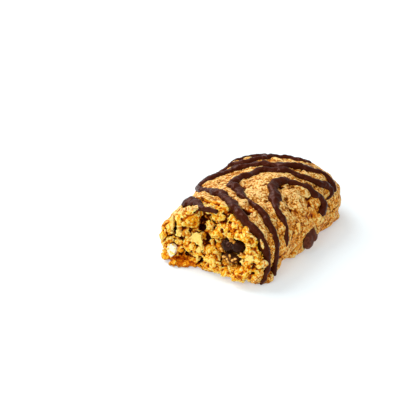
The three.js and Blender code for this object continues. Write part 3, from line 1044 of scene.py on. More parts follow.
def stamp_grain(place, half, turn, sides, tone):
    """Joins one grain to the crumb, and writes its tone where it is the nearest one."""
    slices, offsets = end_block.window(place, max(half) + MARGIN)
    offsets = [offset + push[slices] for offset, push in zip(offsets, fine_aside)]
    grain = angular(offsets, half, turn, sides) + rough[slices]
    here = crumb[slices]
    grain_tone[slices] = np.where(grain < here, tone, grain_tone[slices])
    crumb[slices] = soft_union(here, grain, GRAIN_BLEND)


for order, (spacing, least, most, low, high, share) in enumerate(GRAINS):
    places = scatter(end_block, spacing, GRAIN_SEED + order, near(end_block, crumb, low, high))[:, :3]
    highest = -UNDER_CRUST + TORN_RISE * end_block.sample(torn, places)
    crusted = end_block.sample(end_skin, places) > highest
    places = places[~crusted & (random.random(len(places)) < share)]
    for place in places:
        long = random.uniform(least, most)
        half = long * np.array([1, random.uniform(*GRAIN_WIDTH), random.uniform(*GRAIN_THICKNESS)])
        sides = random_sides(random, GRAIN_SIDES)
        stamp_grain(place, half, random_turn(random), sides, random.random())
    print(len(places), "grains of", 2 * least, "to", 2 * most, "mm")

# %% [markdown]
# ## Pockets and flakes
#
# Where a grain stayed in the other half there is a pocket. Small ones are scattered, and the ones
# that catch the eye have places of their own and open along one direction, so that they are seen
# into. Rolled oats are flat and pale: a flake is a plate with straight sides through a few corners,
# leaning in the face, with crumbs of dough stuck to its rim. Other oats are cut to bits.

# %% Small pockets
POCKET_SPACING = 2.1
POCKET_HALF = (0.3, 0.7)
POCKET_WIDTH = (0.8, 1.3)
POCKET_HEIGHT = (0.5, 0.9)
POCKET_SEED = 24
POCKET_BAND = (-0.5, 0.1)  # their middles lie no deeper in the crumb, and no further out of it
POCKET_DEPTH = 0.8         # and at least this deep below the skin
POCKET_MARGIN = 0.8
POCKET_ROUGHNESS = 2


def cut_pocket(place, half, turn, uneven):
    """Cuts a turned ellipsoid with an uneven wall out of the crumb."""
    slices, offsets = end_block.window(place, max(half) + POCKET_MARGIN)
    reach = np.sqrt(sum((v / h) ** 2 for v, h in zip(along_axes(offsets, turn), half)))
    pocket = (reach - 1) * min(half) + uneven[slices]
    crumb[slices] = np.maximum(crumb[slices], -pocket)


places = scatter(end_block, POCKET_SPACING, POCKET_SEED, near(end_block, crumb, *POCKET_BAND))[:, :3]
places = places[end_block.sample(end_skin, places) < -POCKET_DEPTH]
for place in places:
    long = random.uniform(*POCKET_HALF)
    half = long * np.array([1, random.uniform(*POCKET_WIDTH), random.uniform(*POCKET_HEIGHT)])
    cut_pocket(place, half, random_turn(random), POCKET_ROUGHNESS * rough)
print(len(places), "small pockets")

# %% Bits of oat
# place, half sizes, turn about Y in degrees, paleness
BITS = [
    ((-10.3, -27.5, 15.9), (1.3, 0.7, 1.1), 15, 0.35),
    ((4.0, -26.5, 15.0), (1.5, 0.7, 0.7), 5, 0.55),
    ((6.1, -25.5, 15.6), (0.7, 0.6, 1.2), 0, 0.5),
    ((-3.6, -28.6, 6.5), (0.9, 0.6, 1.2), 20, 0.55),
    ((1.5, -29.9, 4.7), (1.2, 0.7, 1.0), -20, 0.4),
    ((11.8, -31.0, 3.8), (1.2, 0.6, 0.9), 10, 0.45),
    ((10.3, -19.1, 17.4), (1.7, 1.6, 1.3), 25, 0.2),
]
BIT_SIDES = 14
BIT_BLEND = 0.05
OAT_TONE = 0.9

end_oat = np.zeros(end_block.shape, np.float32)
crust_oat = np.zeros(loaf_block.shape, np.float32)


def join_oat(field, tone, oat, slices, piece, paleness, blend):
    """Joins a piece of oat to the field, and writes how pale it is where it is the nearest."""
    here = field[slices]
    oat[slices] = np.where(piece < here, paleness, oat[slices])
    tone[slices] = np.where(piece < here, OAT_TONE, tone[slices])
    field[slices] = soft_union(here, piece, blend)


def add_bit(place, half, turn, paleness, random):
    slices, offsets = end_block.window(place, max(half) + MARGIN)
    piece = angular(offsets, half, turn, random_sides(random, BIT_SIDES))
    join_oat(crumb, grain_tone, end_oat, slices, piece, paleness, BIT_BLEND)


for place, half, degrees, paleness in BITS:
    add_bit(place, half, turn_about_y(degrees), paleness, random)
print(len(BITS), "bits of oat")

# %% Oat flakes
# place, half thickness, turn about Y and lean back in degrees, paleness, corners as x and z
PLATES = [
    ((-4.2, -28.4, 9.9), 0.6, -4, 16, 0.95,
     [(-2.1, 0.1), (-1.4, 1.3), (-0.3, 2.0), (1.2, 1.3), (1.9, -0.4), (1.9, -1.9), (0.4, -1.5),
      (-1.6, -0.8)]),
    ((-12.4, -29.4, 4.3), 0.6, 6, 12, 2.0,
     [(-1.2, 1.5), (0.2, 2.1), (1.5, 1.4), (1.4, -0.5), (0.5, -2.0), (-0.8, -1.6), (-1.4, 0.2)]),
    ((14.0, -29.5, 9.3), 0.5, 0, 12, 1.1,
     [(-1.4, 0.2), (-0.6, 0.9), (1.0, 0.8), (1.5, 0.0), (0.8, -0.8), (-0.9, -0.7)]),
    ((-12.9, -28.4, 12.2), 0.35, 4, 0, 0.6,
     [(-0.5, 1.6), (0.3, 2.6), (0.6, 0.2), (0.3, -2.3), (-0.5, -1.6)]),
    ((-10.6, -28.4, 10.3), 0.6, 30, 10, 0.7,
     [(-1.1, 0.2), (-0.2, 0.9), (1.0, 0.7), (1.1, -0.4), (0.1, -1.0), (-0.9, -0.7)]),
    ((12.3, -7.9, 16.6), 0.5, 32, 90, 0.45,
     [(-1.4, -1.2), (1.2, -1.7), (1.6, 0.4), (0.3, 1.9), (-1.2, 1.2)]),
    ((17.6, -8.6, 10.2), 0.5, 8, 0, 0.55,
     [(-0.6, 2.0), (0.5, 2.2), (0.8, -0.6), (0.1, -2.1), (-0.7, -1.2)]),
]
PLATE_REACH = 3.2
PLATE_ROUND = 0.12
PLATE_GRIT = [(0.9, 0.14, 81), (0.45, 0.12, 82)]
RIM_CRUMB = (0.28, 0.5)
RIM_SHAPE = np.array([1, 0.8, 0.8])
RIM_REACH = (0.75, 1.1)

plate_grit = {block: swells_over(block, PLATE_GRIT) for block in (end_block, loaf_block)}


def plate(offsets, thickness, turn, corners):
    """Rough distance to a flat piece with straight sides through its corners."""
    a, b, c = along_axes(offsets, turn)
    distance = np.abs(b) - thickness
    for (x0, z0), (x1, z1) in zip(corners, corners[1:] + corners[:1]):
        long = math.hypot(x1 - x0, z1 - z0)
        distance = np.maximum(distance, ((z0 - z1) * (a - x0) + (x1 - x0) * (c - z0)) / long)
    return distance


def add_plate(block, field, tone, oat, place, thickness, turn, paleness, corners):
    slices, offsets = block.window(place, PLATE_REACH)
    piece = plate(offsets, thickness, turn, corners) + plate_grit[block][slices]
    join_oat(field, tone, oat, slices, piece, paleness, PLATE_ROUND)


def add_rim_crumbs(place, thickness, turn, corners):
    """Crumbs of dough stuck to the rim of a flake, one near each corner."""
    for x, z in corners:
        corner = x * random.uniform(*RIM_REACH), -thickness, z * random.uniform(*RIM_REACH)
        half = random.uniform(*RIM_CRUMB) * RIM_SHAPE
        add_bit(np.array(place) + turn.T @ corner, half, random_turn(random), 0.0, random)


for place, thickness, degrees, lean, paleness, corners in PLATES:
    turn = lean_back(lean) @ turn_about_y(degrees)
    if place[1] < SPLIT_Y:
        add_plate(end_block, crumb, grain_tone, end_oat, place, thickness, turn, paleness, corners)
        add_rim_crumbs(place, thickness, turn, corners)
    else:
        add_plate(loaf_block, loaf_field, loaf_tone, crust_oat, place, thickness, turn, paleness, corners)
print(len(PLATES), "flakes")

# %% Pockets that stand out on this face
# x, y, z and half sizes
POCKETS = [
    (-4.1, -26.1, 16.1, 0.9, 2.2, 1.5),
    (-4.2, -25.0, 14.3, 1.3, 3.2, 1.7),
    (-4.6, -25.0, 12.2, 1.2, 3.2, 1.3),
    (-12.3, -27.2, 12.4, 0.4, 3.0, 1.9),
    (-12.5, -27.2, 9.8, 0.6, 3.0, 1.4),
    (-13.9, -28.4, 8.5, 0.7, 0.7, 0.5),
    (-4.2, -27.2, 12.2, 1.3, 1.2, 0.9),
    (-2.1, -27.6, 9.4, 0.9, 1.4, 1.3),
    (3.6, -27.4, 14.3, 0.6, 1.2, 0.8),
    (-8.5, -28.4, 2.6, 1.4, 1.3, 0.8),
    (-4.1, -29.6, 1.7, 1.0, 1.0, 0.6),
    (-0.1, -29.8, 2.7, 0.9, 1.2, 1.0),
    (2.9, -28.2, 9.3, 0.6, 1.3, 1.2),
    (9.4, -30.2, 5.7, 1.5, 1.1, 0.8),
    (15.1, -29.2, 7.5, 1.0, 0.8, 0.6),
    (5.1, -28.2, 12.1, 0.8, 1.2, 0.8),
    (2.0, -23.9, 17.7, 0.8, 0.8, 0.6),
    (4.8, -25.0, 16.3, 0.6, 0.9, 0.6),
    (0.0, -26.5, 15.1, 0.8, 0.9, 0.7),
    (-6.3, -26.0, 17.2, 1.2, 1.4, 0.8),
]
OPENING = (0.47, -0.75, 0.45)
OPEN_POCKET_ROUGHNESS = 2.2


def axes_along(way):
    """A rotation matrix whose second axis points along the way, and whose first axis is level."""
    way = np.array(way, float) / np.linalg.norm(way)
    level = np.cross(way, [0, 0, 1])
    level /= np.linalg.norm(level)
    return np.array([level, way, np.cross(level, way)])


for x, y, z, wide, deep, tall in POCKETS:
    cut_pocket((x, y, z), (wide, deep, tall), axes_along(OPENING), OPEN_POCKET_ROUGHNESS * rough)
print(len(POCKETS), "pockets with places of their own")

# %% The crumb that carries the first strand over the deepest pocket
CARRYING_PLACE = (-3.3, -24.4, 17.6)
CARRYING_HALF = (1.5, 1.0, 0.9)
CARRYING_TURN = turn_about_y(15)
CARRYING_PALENESS = 0.2

add_bit(CARRYING_PLACE, CARRYING_HALF, CARRYING_TURN, CARRYING_PALENESS, np.random.default_rng(5))
print("crumb of", 2 * CARRYING_HALF[0], "mm under the first strand")

# %% Small bits of oat
BIT_SPACING = 3.0
BIT_SEED = 25
BIT_HALF = (0.5, 1.05)
BIT_WIDTH = 0.75
BIT_THICKNESS = (0.3, 0.5)
BIT_BAND = (-0.25, 0.2)
BIT_DEPTH = 0.5
BIT_PALENESS = (0.1, 0.45)

places = scatter(end_block, BIT_SPACING, BIT_SEED, near(end_block, crumb, *BIT_BAND))[:, :3]
places = places[end_block.sample(end_skin, places) < -BIT_DEPTH]
for place in places:
    half = random.uniform(*BIT_HALF) * np.array([1, BIT_WIDTH, random.uniform(*BIT_THICKNESS)])
    add_bit(place, half, random_turn(random), random.uniform(*BIT_PALENESS), random)
print(len(places), "small bits of oat")

# %% [markdown]
# ## Room for the chips
#
# A baked chip sits tight in the dough that rose round it. So each chip is a field of one or two
# squared-off lobes, and the same field, a hair's breadth larger, is cut out of the dough. Copies of
# it, moved step by step towards the outside, open the hollow in front, or the chip would be buried.

# %% The chips as fields
# the lobes of each chip: middle and half sizes
CHIPS = {
    "chocolate_chip_front": [((5.7, -27.3, 10.1), (2.2, 1.9, 2.1)), ((8.8, -27.1, 10.3), (1.9, 1.8, 2.1))],
    "chocolate_chip_low": [((7.0, -27.9, 6.7), (2.9, 1.7, 1.4))],
    "chocolate_chip_side": [((17.5, -3.0, 4.3), (2.1, 2.3, 2.4)), ((17.5, -0.9, 5.0), (2.0, 2.1, 2.1))],
}
CHIP_POWER = 2.2  # 2 is an ellipsoid, and more is nearer to a block
LOBE_BLEND = 0.9


def chip_distance(x, y, z, lobes, size=1.0):
    """Rough distance to a chip of squared-off lobes."""
    field = None
    for middle, half in lobes:
        shares = [np.abs((v - at) / (h * size)) ** CHIP_POWER for v, at, h in zip((x, y, z), middle, half)]
        lobe = (sum(shares) ** (1 / CHIP_POWER) - 1) * min(half)
        field = lobe if field is None else soft_union(field, lobe, LOBE_BLEND)
    return field


for name, lobes in CHIPS.items():
    print(name, "has", len(lobes), "lobes")

# %% Hollows in the dough
CHIP_GAP = 0.12
# the way each hollow opens, how much of the chip's size it has, and how far it reaches
CHIP_ROOMS = {
    "chocolate_chip_front": ((0.47, -0.75, 0.45), 1.02, 4.0),
    "chocolate_chip_low": ((0.40, -0.80, 0.40), 0.95, 3.0),
    "chocolate_chip_side": ((0.85, -0.35, 0.38), 0.96, 3.0),
}
ROOM_STEP = 0.8
ROOM_WINDOW = 8
FRONT_ROUGHNESS = 2
LOW_ROUGHNESS = 2.5
SIDE_ROUGHNESS = [(0.9, 0.12, 68)]  # size, height and seed


def make_room(block, field, name, uneven):
    """Cuts the chip's own place out of the dough, and the hollow in front of it."""
    lobes = CHIPS[name]
    way, size, reach = CHIP_ROOMS[name]
    slices, _ = block.window(lobes[0][0], ROOM_WINDOW)
    x, y, z = [axis[part] for axis, part in zip(block.axes, slices)]
    x, y = x[:, None, None], y[None, :, None]
    room = chip_distance(x, y, z, lobes) - CHIP_GAP
    for step in np.arange(ROOM_STEP, reach, ROOM_STEP):
        ahead = chip_distance(x - way[0] * step, y - way[1] * step, z - way[2] * step, lobes, size)
        room = np.minimum(room, ahead + uneven[slices])
    field[slices] = np.maximum(field[slices], -room)


make_room(end_block, crumb, "chocolate_chip_front", FRONT_ROUGHNESS * rough)
make_room(end_block, crumb, "chocolate_chip_low", LOW_ROUGHNESS * rough)
make_room(loaf_block, loaf_field, "chocolate_chip_side", swells_over(loaf_block, SIDE_ROUGHNESS))
print("chips laid free:", sorted(CHIPS))

# %% Break and crust together
CRUST_THICKNESS = 0.6
TORN_MARGIN = 0.1  # where the crust is torn it has no relief and lies this far under the skin
NO_CRUST = 3       # and nothing counts as crust

end_crust = end_skin - end_height * (1 - torn) + TORN_MARGIN * torn
end_field = np.maximum(crumb, end_crust)
end_tone = np.where(end_skin > -CRUST_THICKNESS + NO_CRUST * torn, end_tone, grain_tone)
print("volume of the broken end:", round(float((end_field < 0).sum() * end_block.cube**3 / 1000), 2), "cm3")

# %% [markdown]
# ## From volume to mesh
#
# OpenVDB walks over the cubes that the surface passes through, puts a point in each and joins the
# points to faces. Where the surface is nearly flat it may merge small faces to larger ones, which
# saves triangles where nobody misses them. The two blocks overlap, so each is cut at a plane inside
# the other, and the cut faces are hidden in the dough. Scraps that hang free and hollows that
# nothing opens are dropped.

# %% A mesh from a field
SMALLEST_BODY = 0.02


def without_scraps(points, triangles, quads):
    """The points and faces without bodies and hollows that have few of the points.

    Each point gets the lowest number among its neighbours until nothing changes, so that in the end
    all points of a body have the same number."""
    label = np.arange(len(points))
    while True:
        lower = label.copy()
        for faces in (triangles, quads):
            lowest = label[faces].min(1)
            for corner in faces.T:
                np.minimum.at(lower, corner, lowest)
        lower = lower[lower]
        if (lower == label).all():
            break
        label = lower
    keep = np.bincount(label, minlength=len(points))[label] > SMALLEST_BODY * len(points)
    place = np.cumsum(keep) - 1
    return points[keep], place[triangles[keep[triangles[:, 0]]]], place[quads[keep[quads[:, 0]]]]


def mesh_of(block, field, merging=0.0):
    """Points in mm, triangles and quads of the surface where the field is 0."""
    volume = openvdb.FloatGrid(SKIN_REACH)
    volume.transform = openvdb.createLinearTransform(voxelSize=block.cube)
    volume.copyFromArray(np.ascontiguousarray(field, np.float32))
    points, triangles, quads = volume.convertToPolygons(0.0, merging)
    points, triangles, quads = without_scraps(points, triangles.astype(int), quads.astype(int))
    return points.astype(float) + block.low, triangles, quads


SEAM_OVERLAP = 0.5
END_MERGING = 0.2
LOAF_MERGING = 0.05

end_solid = np.maximum(end_field, end_block.y - (SPLIT_Y + SEAM_OVERLAP))
end_points, *end_faces = mesh_of(end_block, end_solid, END_MERGING)
loaf_solid = np.maximum(loaf_field, SPLIT_Y - loaf_block.y)
loaf_points, *loaf_faces = mesh_of(loaf_block, loaf_solid, LOAF_MERGING)
print("broken end:", len(end_points), "points, loaf:", len(loaf_points), "points")

# %% What each point of the surface knows
# nook, pit, hollow and cave tell how hollow the surface lies at four sizes; the dough's finish paints
# highlight on tips and shade in hollows from them
NOOK_CUBES = 1
PIT_REACH = 0.45
HOLLOW_REACH = 1.5
CAVE_REACH = 2.8
STAIN_REACH = 1.3
STAIN_CORE = 0.2
TOAST_HEIGHT = (3.0, 1.3)
TOAST_SIDE = (0.0, -4.0)
TORN_DEEPER = 1.5  # where the crust is torn the dough is coloured as if it lay this much deeper


def stain_at(points):
    """1 where the dough touches a chip, fading to 0."""
    nearest = np.min([chip_distance(*points.T, lobes) for lobes in CHIPS.values()], axis=0)
    return ramp(nearest, STAIN_REACH, STAIN_CORE)


def surface_values(block, field, skin, points, tone, oat):
    """Numbers for the materials: how hollow the surface is, how near the crust, the grain's tone."""
    full = (field < 0).astype(np.float32)
    soft = np.clip(0.5 - field / block.cube, 0, 1).astype(np.float32)
    return {
        "nook": block.sample(blur(soft, NOOK_CUBES), points),
        "pit": block.sample(blur(soft, max(1, round(PIT_REACH / block.cube))), points),
        "hollow": block.sample(blur(full, round(HOLLOW_REACH / block.cube)), points),
        "cave": block.sample(blur(full, round(CAVE_REACH / block.cube)), points),
        "toast": ramp(points[:, 2], *TOAST_HEIGHT) * ramp(points[:, 0], *TOAST_SIDE),
        "depth": -block.sample(skin, points),
        "tone": block.sample(tone, points),
        "oat": block.sample(oat, points),
        "stain": stain_at(points),
        "height": points[:, 2],
        "along": points[:, 1],
    }


end_depth = end_skin - TORN_DEEPER * torn
end_values = surface_values(end_block, end_field, end_depth, end_points, end_tone, end_oat)
loaf_values = surface_values(loaf_block, loaf_field, loaf_skin, loaf_points, loaf_tone, crust_oat)
for key, numbers in end_values.items():
    print(key, np.round(np.percentile(numbers, PERCENTS), 2))

# %% The two pieces of dough


def add_piece(name, points, triangles, quads, values=None):
    """A smooth-shaded object from points in mm, with one number per point under each name in values."""
    mesh = bpy.data.meshes.new(name)
    mesh.vertices.add(len(points))
    mesh.vertices.foreach_set("co", ((points + ORIGIN_SHIFT) * MM).astype(np.float32).ravel())
    corners = np.concatenate([triangles.ravel(), quads.ravel()]).astype(np.int32)
    mesh.loops.add(len(corners))
    mesh.loops.foreach_set("vertex_index", corners)
    starts = [3 * np.arange(len(triangles)), triangles.size + 4 * np.arange(len(quads))]
    starts = np.concatenate(starts).astype(np.int32)
    mesh.polygons.add(len(starts))
    mesh.polygons.foreach_set("loop_start", starts)
    mesh.update(calc_edges=True)
    mesh.validate()
    mesh.shade_smooth()
    for key, numbers in (values or {}).items():
        attribute = mesh.attributes.new(key, "FLOAT", "POINT")
        attribute.data.foreach_set("value", np.asarray(numbers, np.float32))
    piece = bpy.data.objects.new(name, mesh)
    bpy.context.scene.collection.objects.link(piece)
    print(name, len(triangles) + 2 * len(quads), "triangles")
    return piece


broken_end = add_piece("broken_end", end_points, *end_faces, end_values)
baked_loaf = add_piece("baked_loaf", loaf_points, *loaf_faces, loaf_values)

# %% [markdown]
# ## The dough's finish
#
# The grains that stand out are painted paler, as painted highlight. The gaps and hollows between
# them are painted deep brown, as painted shade, and a painted shadow darkens the foot. The dough's
# own tones, specks and toasted base come on top of that, and the crust has a browner ramp of its
# own on top. An image wrapped round the bar could show that, but it would know nothing of these
# grains. Here each point of the mesh carries how far it stands out and how hollow it lies, so a few
# such fields are weighed and summed, and a colour ramp turns the sum into a colour. Noise adds the
# specks that are finer than the mesh. What is the same all over, such as the gloss, is set on the
# shader itself.

# %% A finish and its shader


class Finish:
    """A new material: its nodes and links, its shader, and the place of each point on the piece."""

    def __init__(self, name):
        self.material, self.nodes, self.links = new_material(name)
        self.shader = self.nodes["Principled BSDF"]
        self.place = self.nodes.new("ShaderNodeTexCoord").outputs["Object"]

    def feed(self, socket, value):
        """Links another node's output to the socket, or sets one value for the whole surface."""
        if isinstance(value, bpy.types.NodeSocket):
            self.links.new(value, socket)
        elif socket.type == "RGBA":
            socket.default_value = (*value, 1)
        else:
            socket.default_value = value


print("materials so far:", [material.name for material in bpy.data.materials])

# %% Fields of the mesh, and noise


def known(finish, name):
    """A number that each point of the mesh carries under this name."""
    node = finish.nodes.new("ShaderNodeAttribute")
    node.attribute_name = name
    return node.outputs["Fac"]


def noise(finish, size_mm, detail=2, roughness=0.5):
    node = finish.nodes.new("ShaderNodeTexNoise")
    finish.feed(node.inputs["Vector"], finish.place)
    finish.feed(node.inputs["Scale"], 1 / (size_mm * MM))
    finish.feed(node.inputs["Detail"], detail)
    finish.feed(node.inputs["Roughness"], roughness)
    return node.outputs["Fac"]


print("the dough's mesh carries", sorted(end_values))

# %% Soft steps of a field
# where each step starts and ends; a field falls where the first number is the larger one
MESH_STEPS = {
    # raised, crust_raised, jutting, open and outer are high where the surface stands out and low in pits
    # and hollows: they carry painted highlight and painted shade
    "raised": ("pit", 0.68, 0.32),
    "crust_raised": ("pit", 0.62, 0.38),
    "jutting": ("nook", 0.62, 0.38),
    "open": ("hollow", 0.78, 0.48),
    "outer": ("cave", 0.74, 0.44),
    "on_crust": ("depth", 0.75, 0.3),
    "top": ("height", 10, 19),
    # foot: where the painted shadow at the base lies
    "foot": ("height", 1.5, 0.1),
    "browned": ("along", 16, 28),
    # 1 out of pits: oats in pits lose their pale colour, as painted shade
    "clear_of_pits": ("pit", 0.75, 0.5),
    "white": ("oat", 1.2, 1.8),
}
# size in mm, detail and roughness of the noise, and where its step starts and ends
NOISE_STEPS = {
    "speck": (0.75, 4, 0.7, 0.36, 0.64),
    "dot": (0.45, 1, 0.5, 0.52, 0.64),
    "fleck": (0.5, 1, 0.5, 0.46, 0.34),
    "patch": (2.2, 2, 0.5, 0.35, 0.65),
    "broad": (6.0, 2, 0.5, 0.35, 0.65),
}
PATCHY = (0.0, 0.7)  # the crust's dark dots fade in over this step of the patches


def soft_step(finish, value, low, high, at_low=0.0, at_high=1.0):
    node = finish.nodes.new("ShaderNodeMapRange")
    node.interpolation_type = "SMOOTHSTEP"
    names = ("Value", "From Min", "From Max", "To Min", "To Max")
    for name, setting in zip(names, (value, low, high, at_low, at_high)):
        finish.feed(node.inputs[name], setting)
    return node.outputs["Result"]


def calculate(finish, operation, *values):
    node = finish.nodes.new("ShaderNodeMath")
    node.operation = operation
    for socket, value in zip(node.inputs, values):
        finish.feed(socket, value)
    return node.outputs[0]


def dough_fields(finish):
    """Every field of the dough by its name."""
    fields = {name: known(finish, name) for name in end_values}
    for name, (source, low, high) in MESH_STEPS.items():
        fields[name] = soft_step(finish, fields[source], low, high)
    for name, (size, detail, roughness, low, high) in NOISE_STEPS.items():
        fields[name] = soft_step(finish, noise(finish, size, detail, roughness), low, high)
    patchy = soft_step(finish, fields["patch"], *PATCHY)
    fields["speckled"] = calculate(finish, "MULTIPLY", fields["dot"], patchy)
    return fields


print(len(MESH_STEPS), "steps of the mesh's fields,", len(NOISE_STEPS), "of noise")

# %% How light or dark the fields make the dough
# the number that each sum starts from, and the weight of each field in it
# raised, crust_raised, jutting, open and outer are high where the surface stands out and low in pits and
# hollows, so their weights paint highlight on tips and shade in hollows; the other fields add tones and
# specks by place and at random
SUMS = {
    "crumb light": (-0.615, {
        "raised": 0.30, "jutting": 0.52, "tone": 0.46, "speck": 0.78, "outer": 0.12, "dot": -0.22,
        "fleck": 0.14, "toast": -0.45}),
    "crumb shade": (-0.435, {
        "raised": 0.46, "open": 0.46, "outer": 0.34, "jutting": 0.28, "patch": 0.12, "toast": -0.16}),
    "crust light": (-0.85, {
        "crust_raised": 0.42, "jutting": 0.36, "speck": 0.88, "patch": 0.18, "broad": 0.20,
        "speckled": -0.44, "fleck": 0.24, "tone": 0.32, "open": 0.20, "top": 0.20, "browned": -0.12}),
}


def weighed_sum(finish, fields, name):
    total, weights = SUMS[name]
    for field, weight in weights.items():
        total = calculate(finish, "MULTIPLY_ADD", fields[field], weight, total)
    return total


for name, (start, weights) in SUMS.items():
    least = start + sum(min(weight, 0) for weight in weights.values())
    most = start + sum(max(weight, 0) for weight in weights.values())
    print(name, "runs from", round(least, 2), "to", round(most, 2))

# %% Colours of the dough
# the crumb's own tones, whose pale end is reached on tips as painted highlight
CRUMB_COLOURS = [
    (0.0, (0.60, 0.14, 0.001)),
    (0.3, (0.90, 0.30, 0.003)),
    (0.6, (1.0, 0.49, 0.014)),
    (0.8, (1.0, 0.62, 0.06)),
    (1.0, (1.0, 0.80, 0.24)),
]
# painted shade, multiplied over the crumb: darkest in its pits and hollows
CRUMB_PAINTED_SHADES = [
    (0.0, (0.055, 0.012, 0.001)),
    (0.33, (0.33, 0.10, 0.012)),
    (0.62, (0.88, 0.64, 0.36)),
    (1.0, (1.0, 1.0, 1.0)),
]
CRUST_COLOURS = [
    (0.0, (0.16, 0.033, 0.002)),
    (0.2, (0.50, 0.13, 0.005)),
    (0.45, (0.88, 0.262, 0.009)),
    (0.7, (1.0, 0.415, 0.036)),
    (1.0, (1.0, 0.76, 0.27)),
]
CREST_COLOURS = [
    (0.0, (0.11, 0.026, 0.003)),
    (0.2, (0.28, 0.080, 0.006)),
    (0.45, (0.50, 0.160, 0.010)),
    (0.7, (0.68, 0.265, 0.036)),
    (0.87, (0.88, 0.45, 0.10)),
    (1.0, (1.0, 0.70, 0.28)),
]
OAT_COLOUR = (1.0, 0.73, 0.19)
WHITE_FLAKE_COLOUR = (1.0, 0.94, 0.74)
# painted shadow along the base, where the bar meets the floor
PAINTED_FOOT_SHADOW = (0.40, 0.22, 0.10)
STAIN_SHADE = (0.42, 0.25, 0.14)
STAIN_SPECKS = (0.9, 0.2, 0.35, 1.0)  # light specks take 0.35 of the stain, dark ones all of it
print("the crumb's middle colour:", CRUMB_COLOURS[2][1], "the crest's:", CREST_COLOURS[2][1])

# %% Ramps and mixes of colours
# the colours' own sockets among the inputs and outputs of a Mix node
MIX_INPUTS = (0, 6, 7)
MIX_RESULT = 2


def colour_ramp(finish, value, stops):
    node = finish.nodes.new("ShaderNodeValToRGB")
    elements = node.color_ramp.elements
    while len(elements) < len(stops):
        elements.new(0.5)
    for element, (place, colour) in zip(elements, stops):
        element.position = place
        element.color = (*colour, 1)
    finish.feed(node.inputs["Fac"], value)
    return node.outputs["Color"]


def mix(finish, share, a, b, mode="MIX"):
    node = finish.nodes.new("ShaderNodeMix")
    node.data_type = "RGBA"
    node.blend_type = mode
    for order, value in zip(MIX_INPUTS, (share, a, b)):
        finish.feed(node.inputs[order], value)
    return node.outputs[MIX_RESULT]


def dough_colour(finish, fields):
    crumb_tone_and_highlight = colour_ramp(finish, weighed_sum(finish, fields, "crumb light"), CRUMB_COLOURS)
    crumb_painted_shade = colour_ramp(finish, weighed_sum(finish, fields, "crumb shade"), CRUMB_PAINTED_SHADES)
    crumb_colour = mix(finish, 1.0, crumb_tone_and_highlight, crumb_painted_shade, "MULTIPLY")
    crust_tone_and_shading = weighed_sum(finish, fields, "crust light")
    wall = colour_ramp(finish, crust_tone_and_shading, CRUST_COLOURS)
    crest = colour_ramp(finish, crust_tone_and_shading, CREST_COLOURS)
    colour = mix(finish, fields["on_crust"], crumb_colour, mix(finish, fields["top"], wall, crest))
    # oats keep their pale colour only out of pits, so oats in pits get painted shade
    pale = calculate(finish, "MULTIPLY", fields["oat"], fields["clear_of_pits"])
    colour = mix(finish, pale, colour, OAT_COLOUR)
    colour = mix(finish, fields["white"], colour, WHITE_FLAKE_COLOUR)
    stained = soft_step(finish, fields["speck"], *STAIN_SPECKS)
    stain = calculate(finish, "MULTIPLY", fields["stain"], stained)
    colour = mix(finish, stain, colour, STAIN_SHADE, "MULTIPLY")
    return mix(finish, fields["foot"], colour, PAINTED_FOOT_SHADOW, "MULTIPLY")


print("ramps of", len(CRUMB_COLOURS), "and", len(CRUMB_PAINTED_SHADES), "colours for the crumb,",
      len(CRUST_COLOURS), "and", len(CREST_COLOURS), "for the crust")

# %% Baked dough
# values of the shader that are the same all over
DOUGH_SHADER = {
    "Roughness": 0.55,
    "Specular IOR Level": 0.2,
    "Specular Tint": (1.0, 0.62, 0.24),
    "Subsurface Weight": 0.15,
    "Subsurface Radius": (1.0, 0.45, 0.12),
    "Subsurface Scale": 0.6 * MM,
}
DOUGH_BUMP = {"size_mm": 0.5, "detail": 3, "roughness": 0.6, "strength": 0.8, "depth_mm": 0.52}


def add_bump(finish, size_mm, detail, roughness, strength, depth_mm):
    bump = finish.nodes.new("ShaderNodeBump")
    finish.feed(bump.inputs["Strength"], strength)
    finish.feed(bump.inputs["Distance"], depth_mm * MM)
    finish.feed(bump.inputs["Height"], noise(finish, size_mm, detail, roughness))
    finish.feed(finish.shader.inputs["Normal"], bump.outputs["Normal"])


def baked_dough():
    finish = Finish("baked dough")
    finish.feed(finish.shader.inputs["Base Color"], dough_colour(finish, dough_fields(finish)))
    for name, value in DOUGH_SHADER.items():
        finish.feed(finish.shader.inputs[name], value)
    add_bump(finish, **DOUGH_BUMP)
    return finish.material


dough = baked_dough()
for piece in (broken_end, baked_loaf):
    piece.data.materials.append(dough)
    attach(piece, "root")
    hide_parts("bar")
print("the dough's finish has", len(dough.node_tree.nodes), "nodes")

# %% [markdown]
# ## Drizzle
#
# Melted chocolate is drizzled in strokes across the loaf and back. It settles to low beads with
# lobed edges, thick where the stroke slowed down, and runs together where strands meet. A curve
# with a round bevel would lie on the crust like wire. So each strand is a row of flattened beads,
# set close together along its route and joined in a volume, where crossing strands melt into one.
# Below, the beads reach deeper than they stand up, so that the pebbles leave no gap under them.

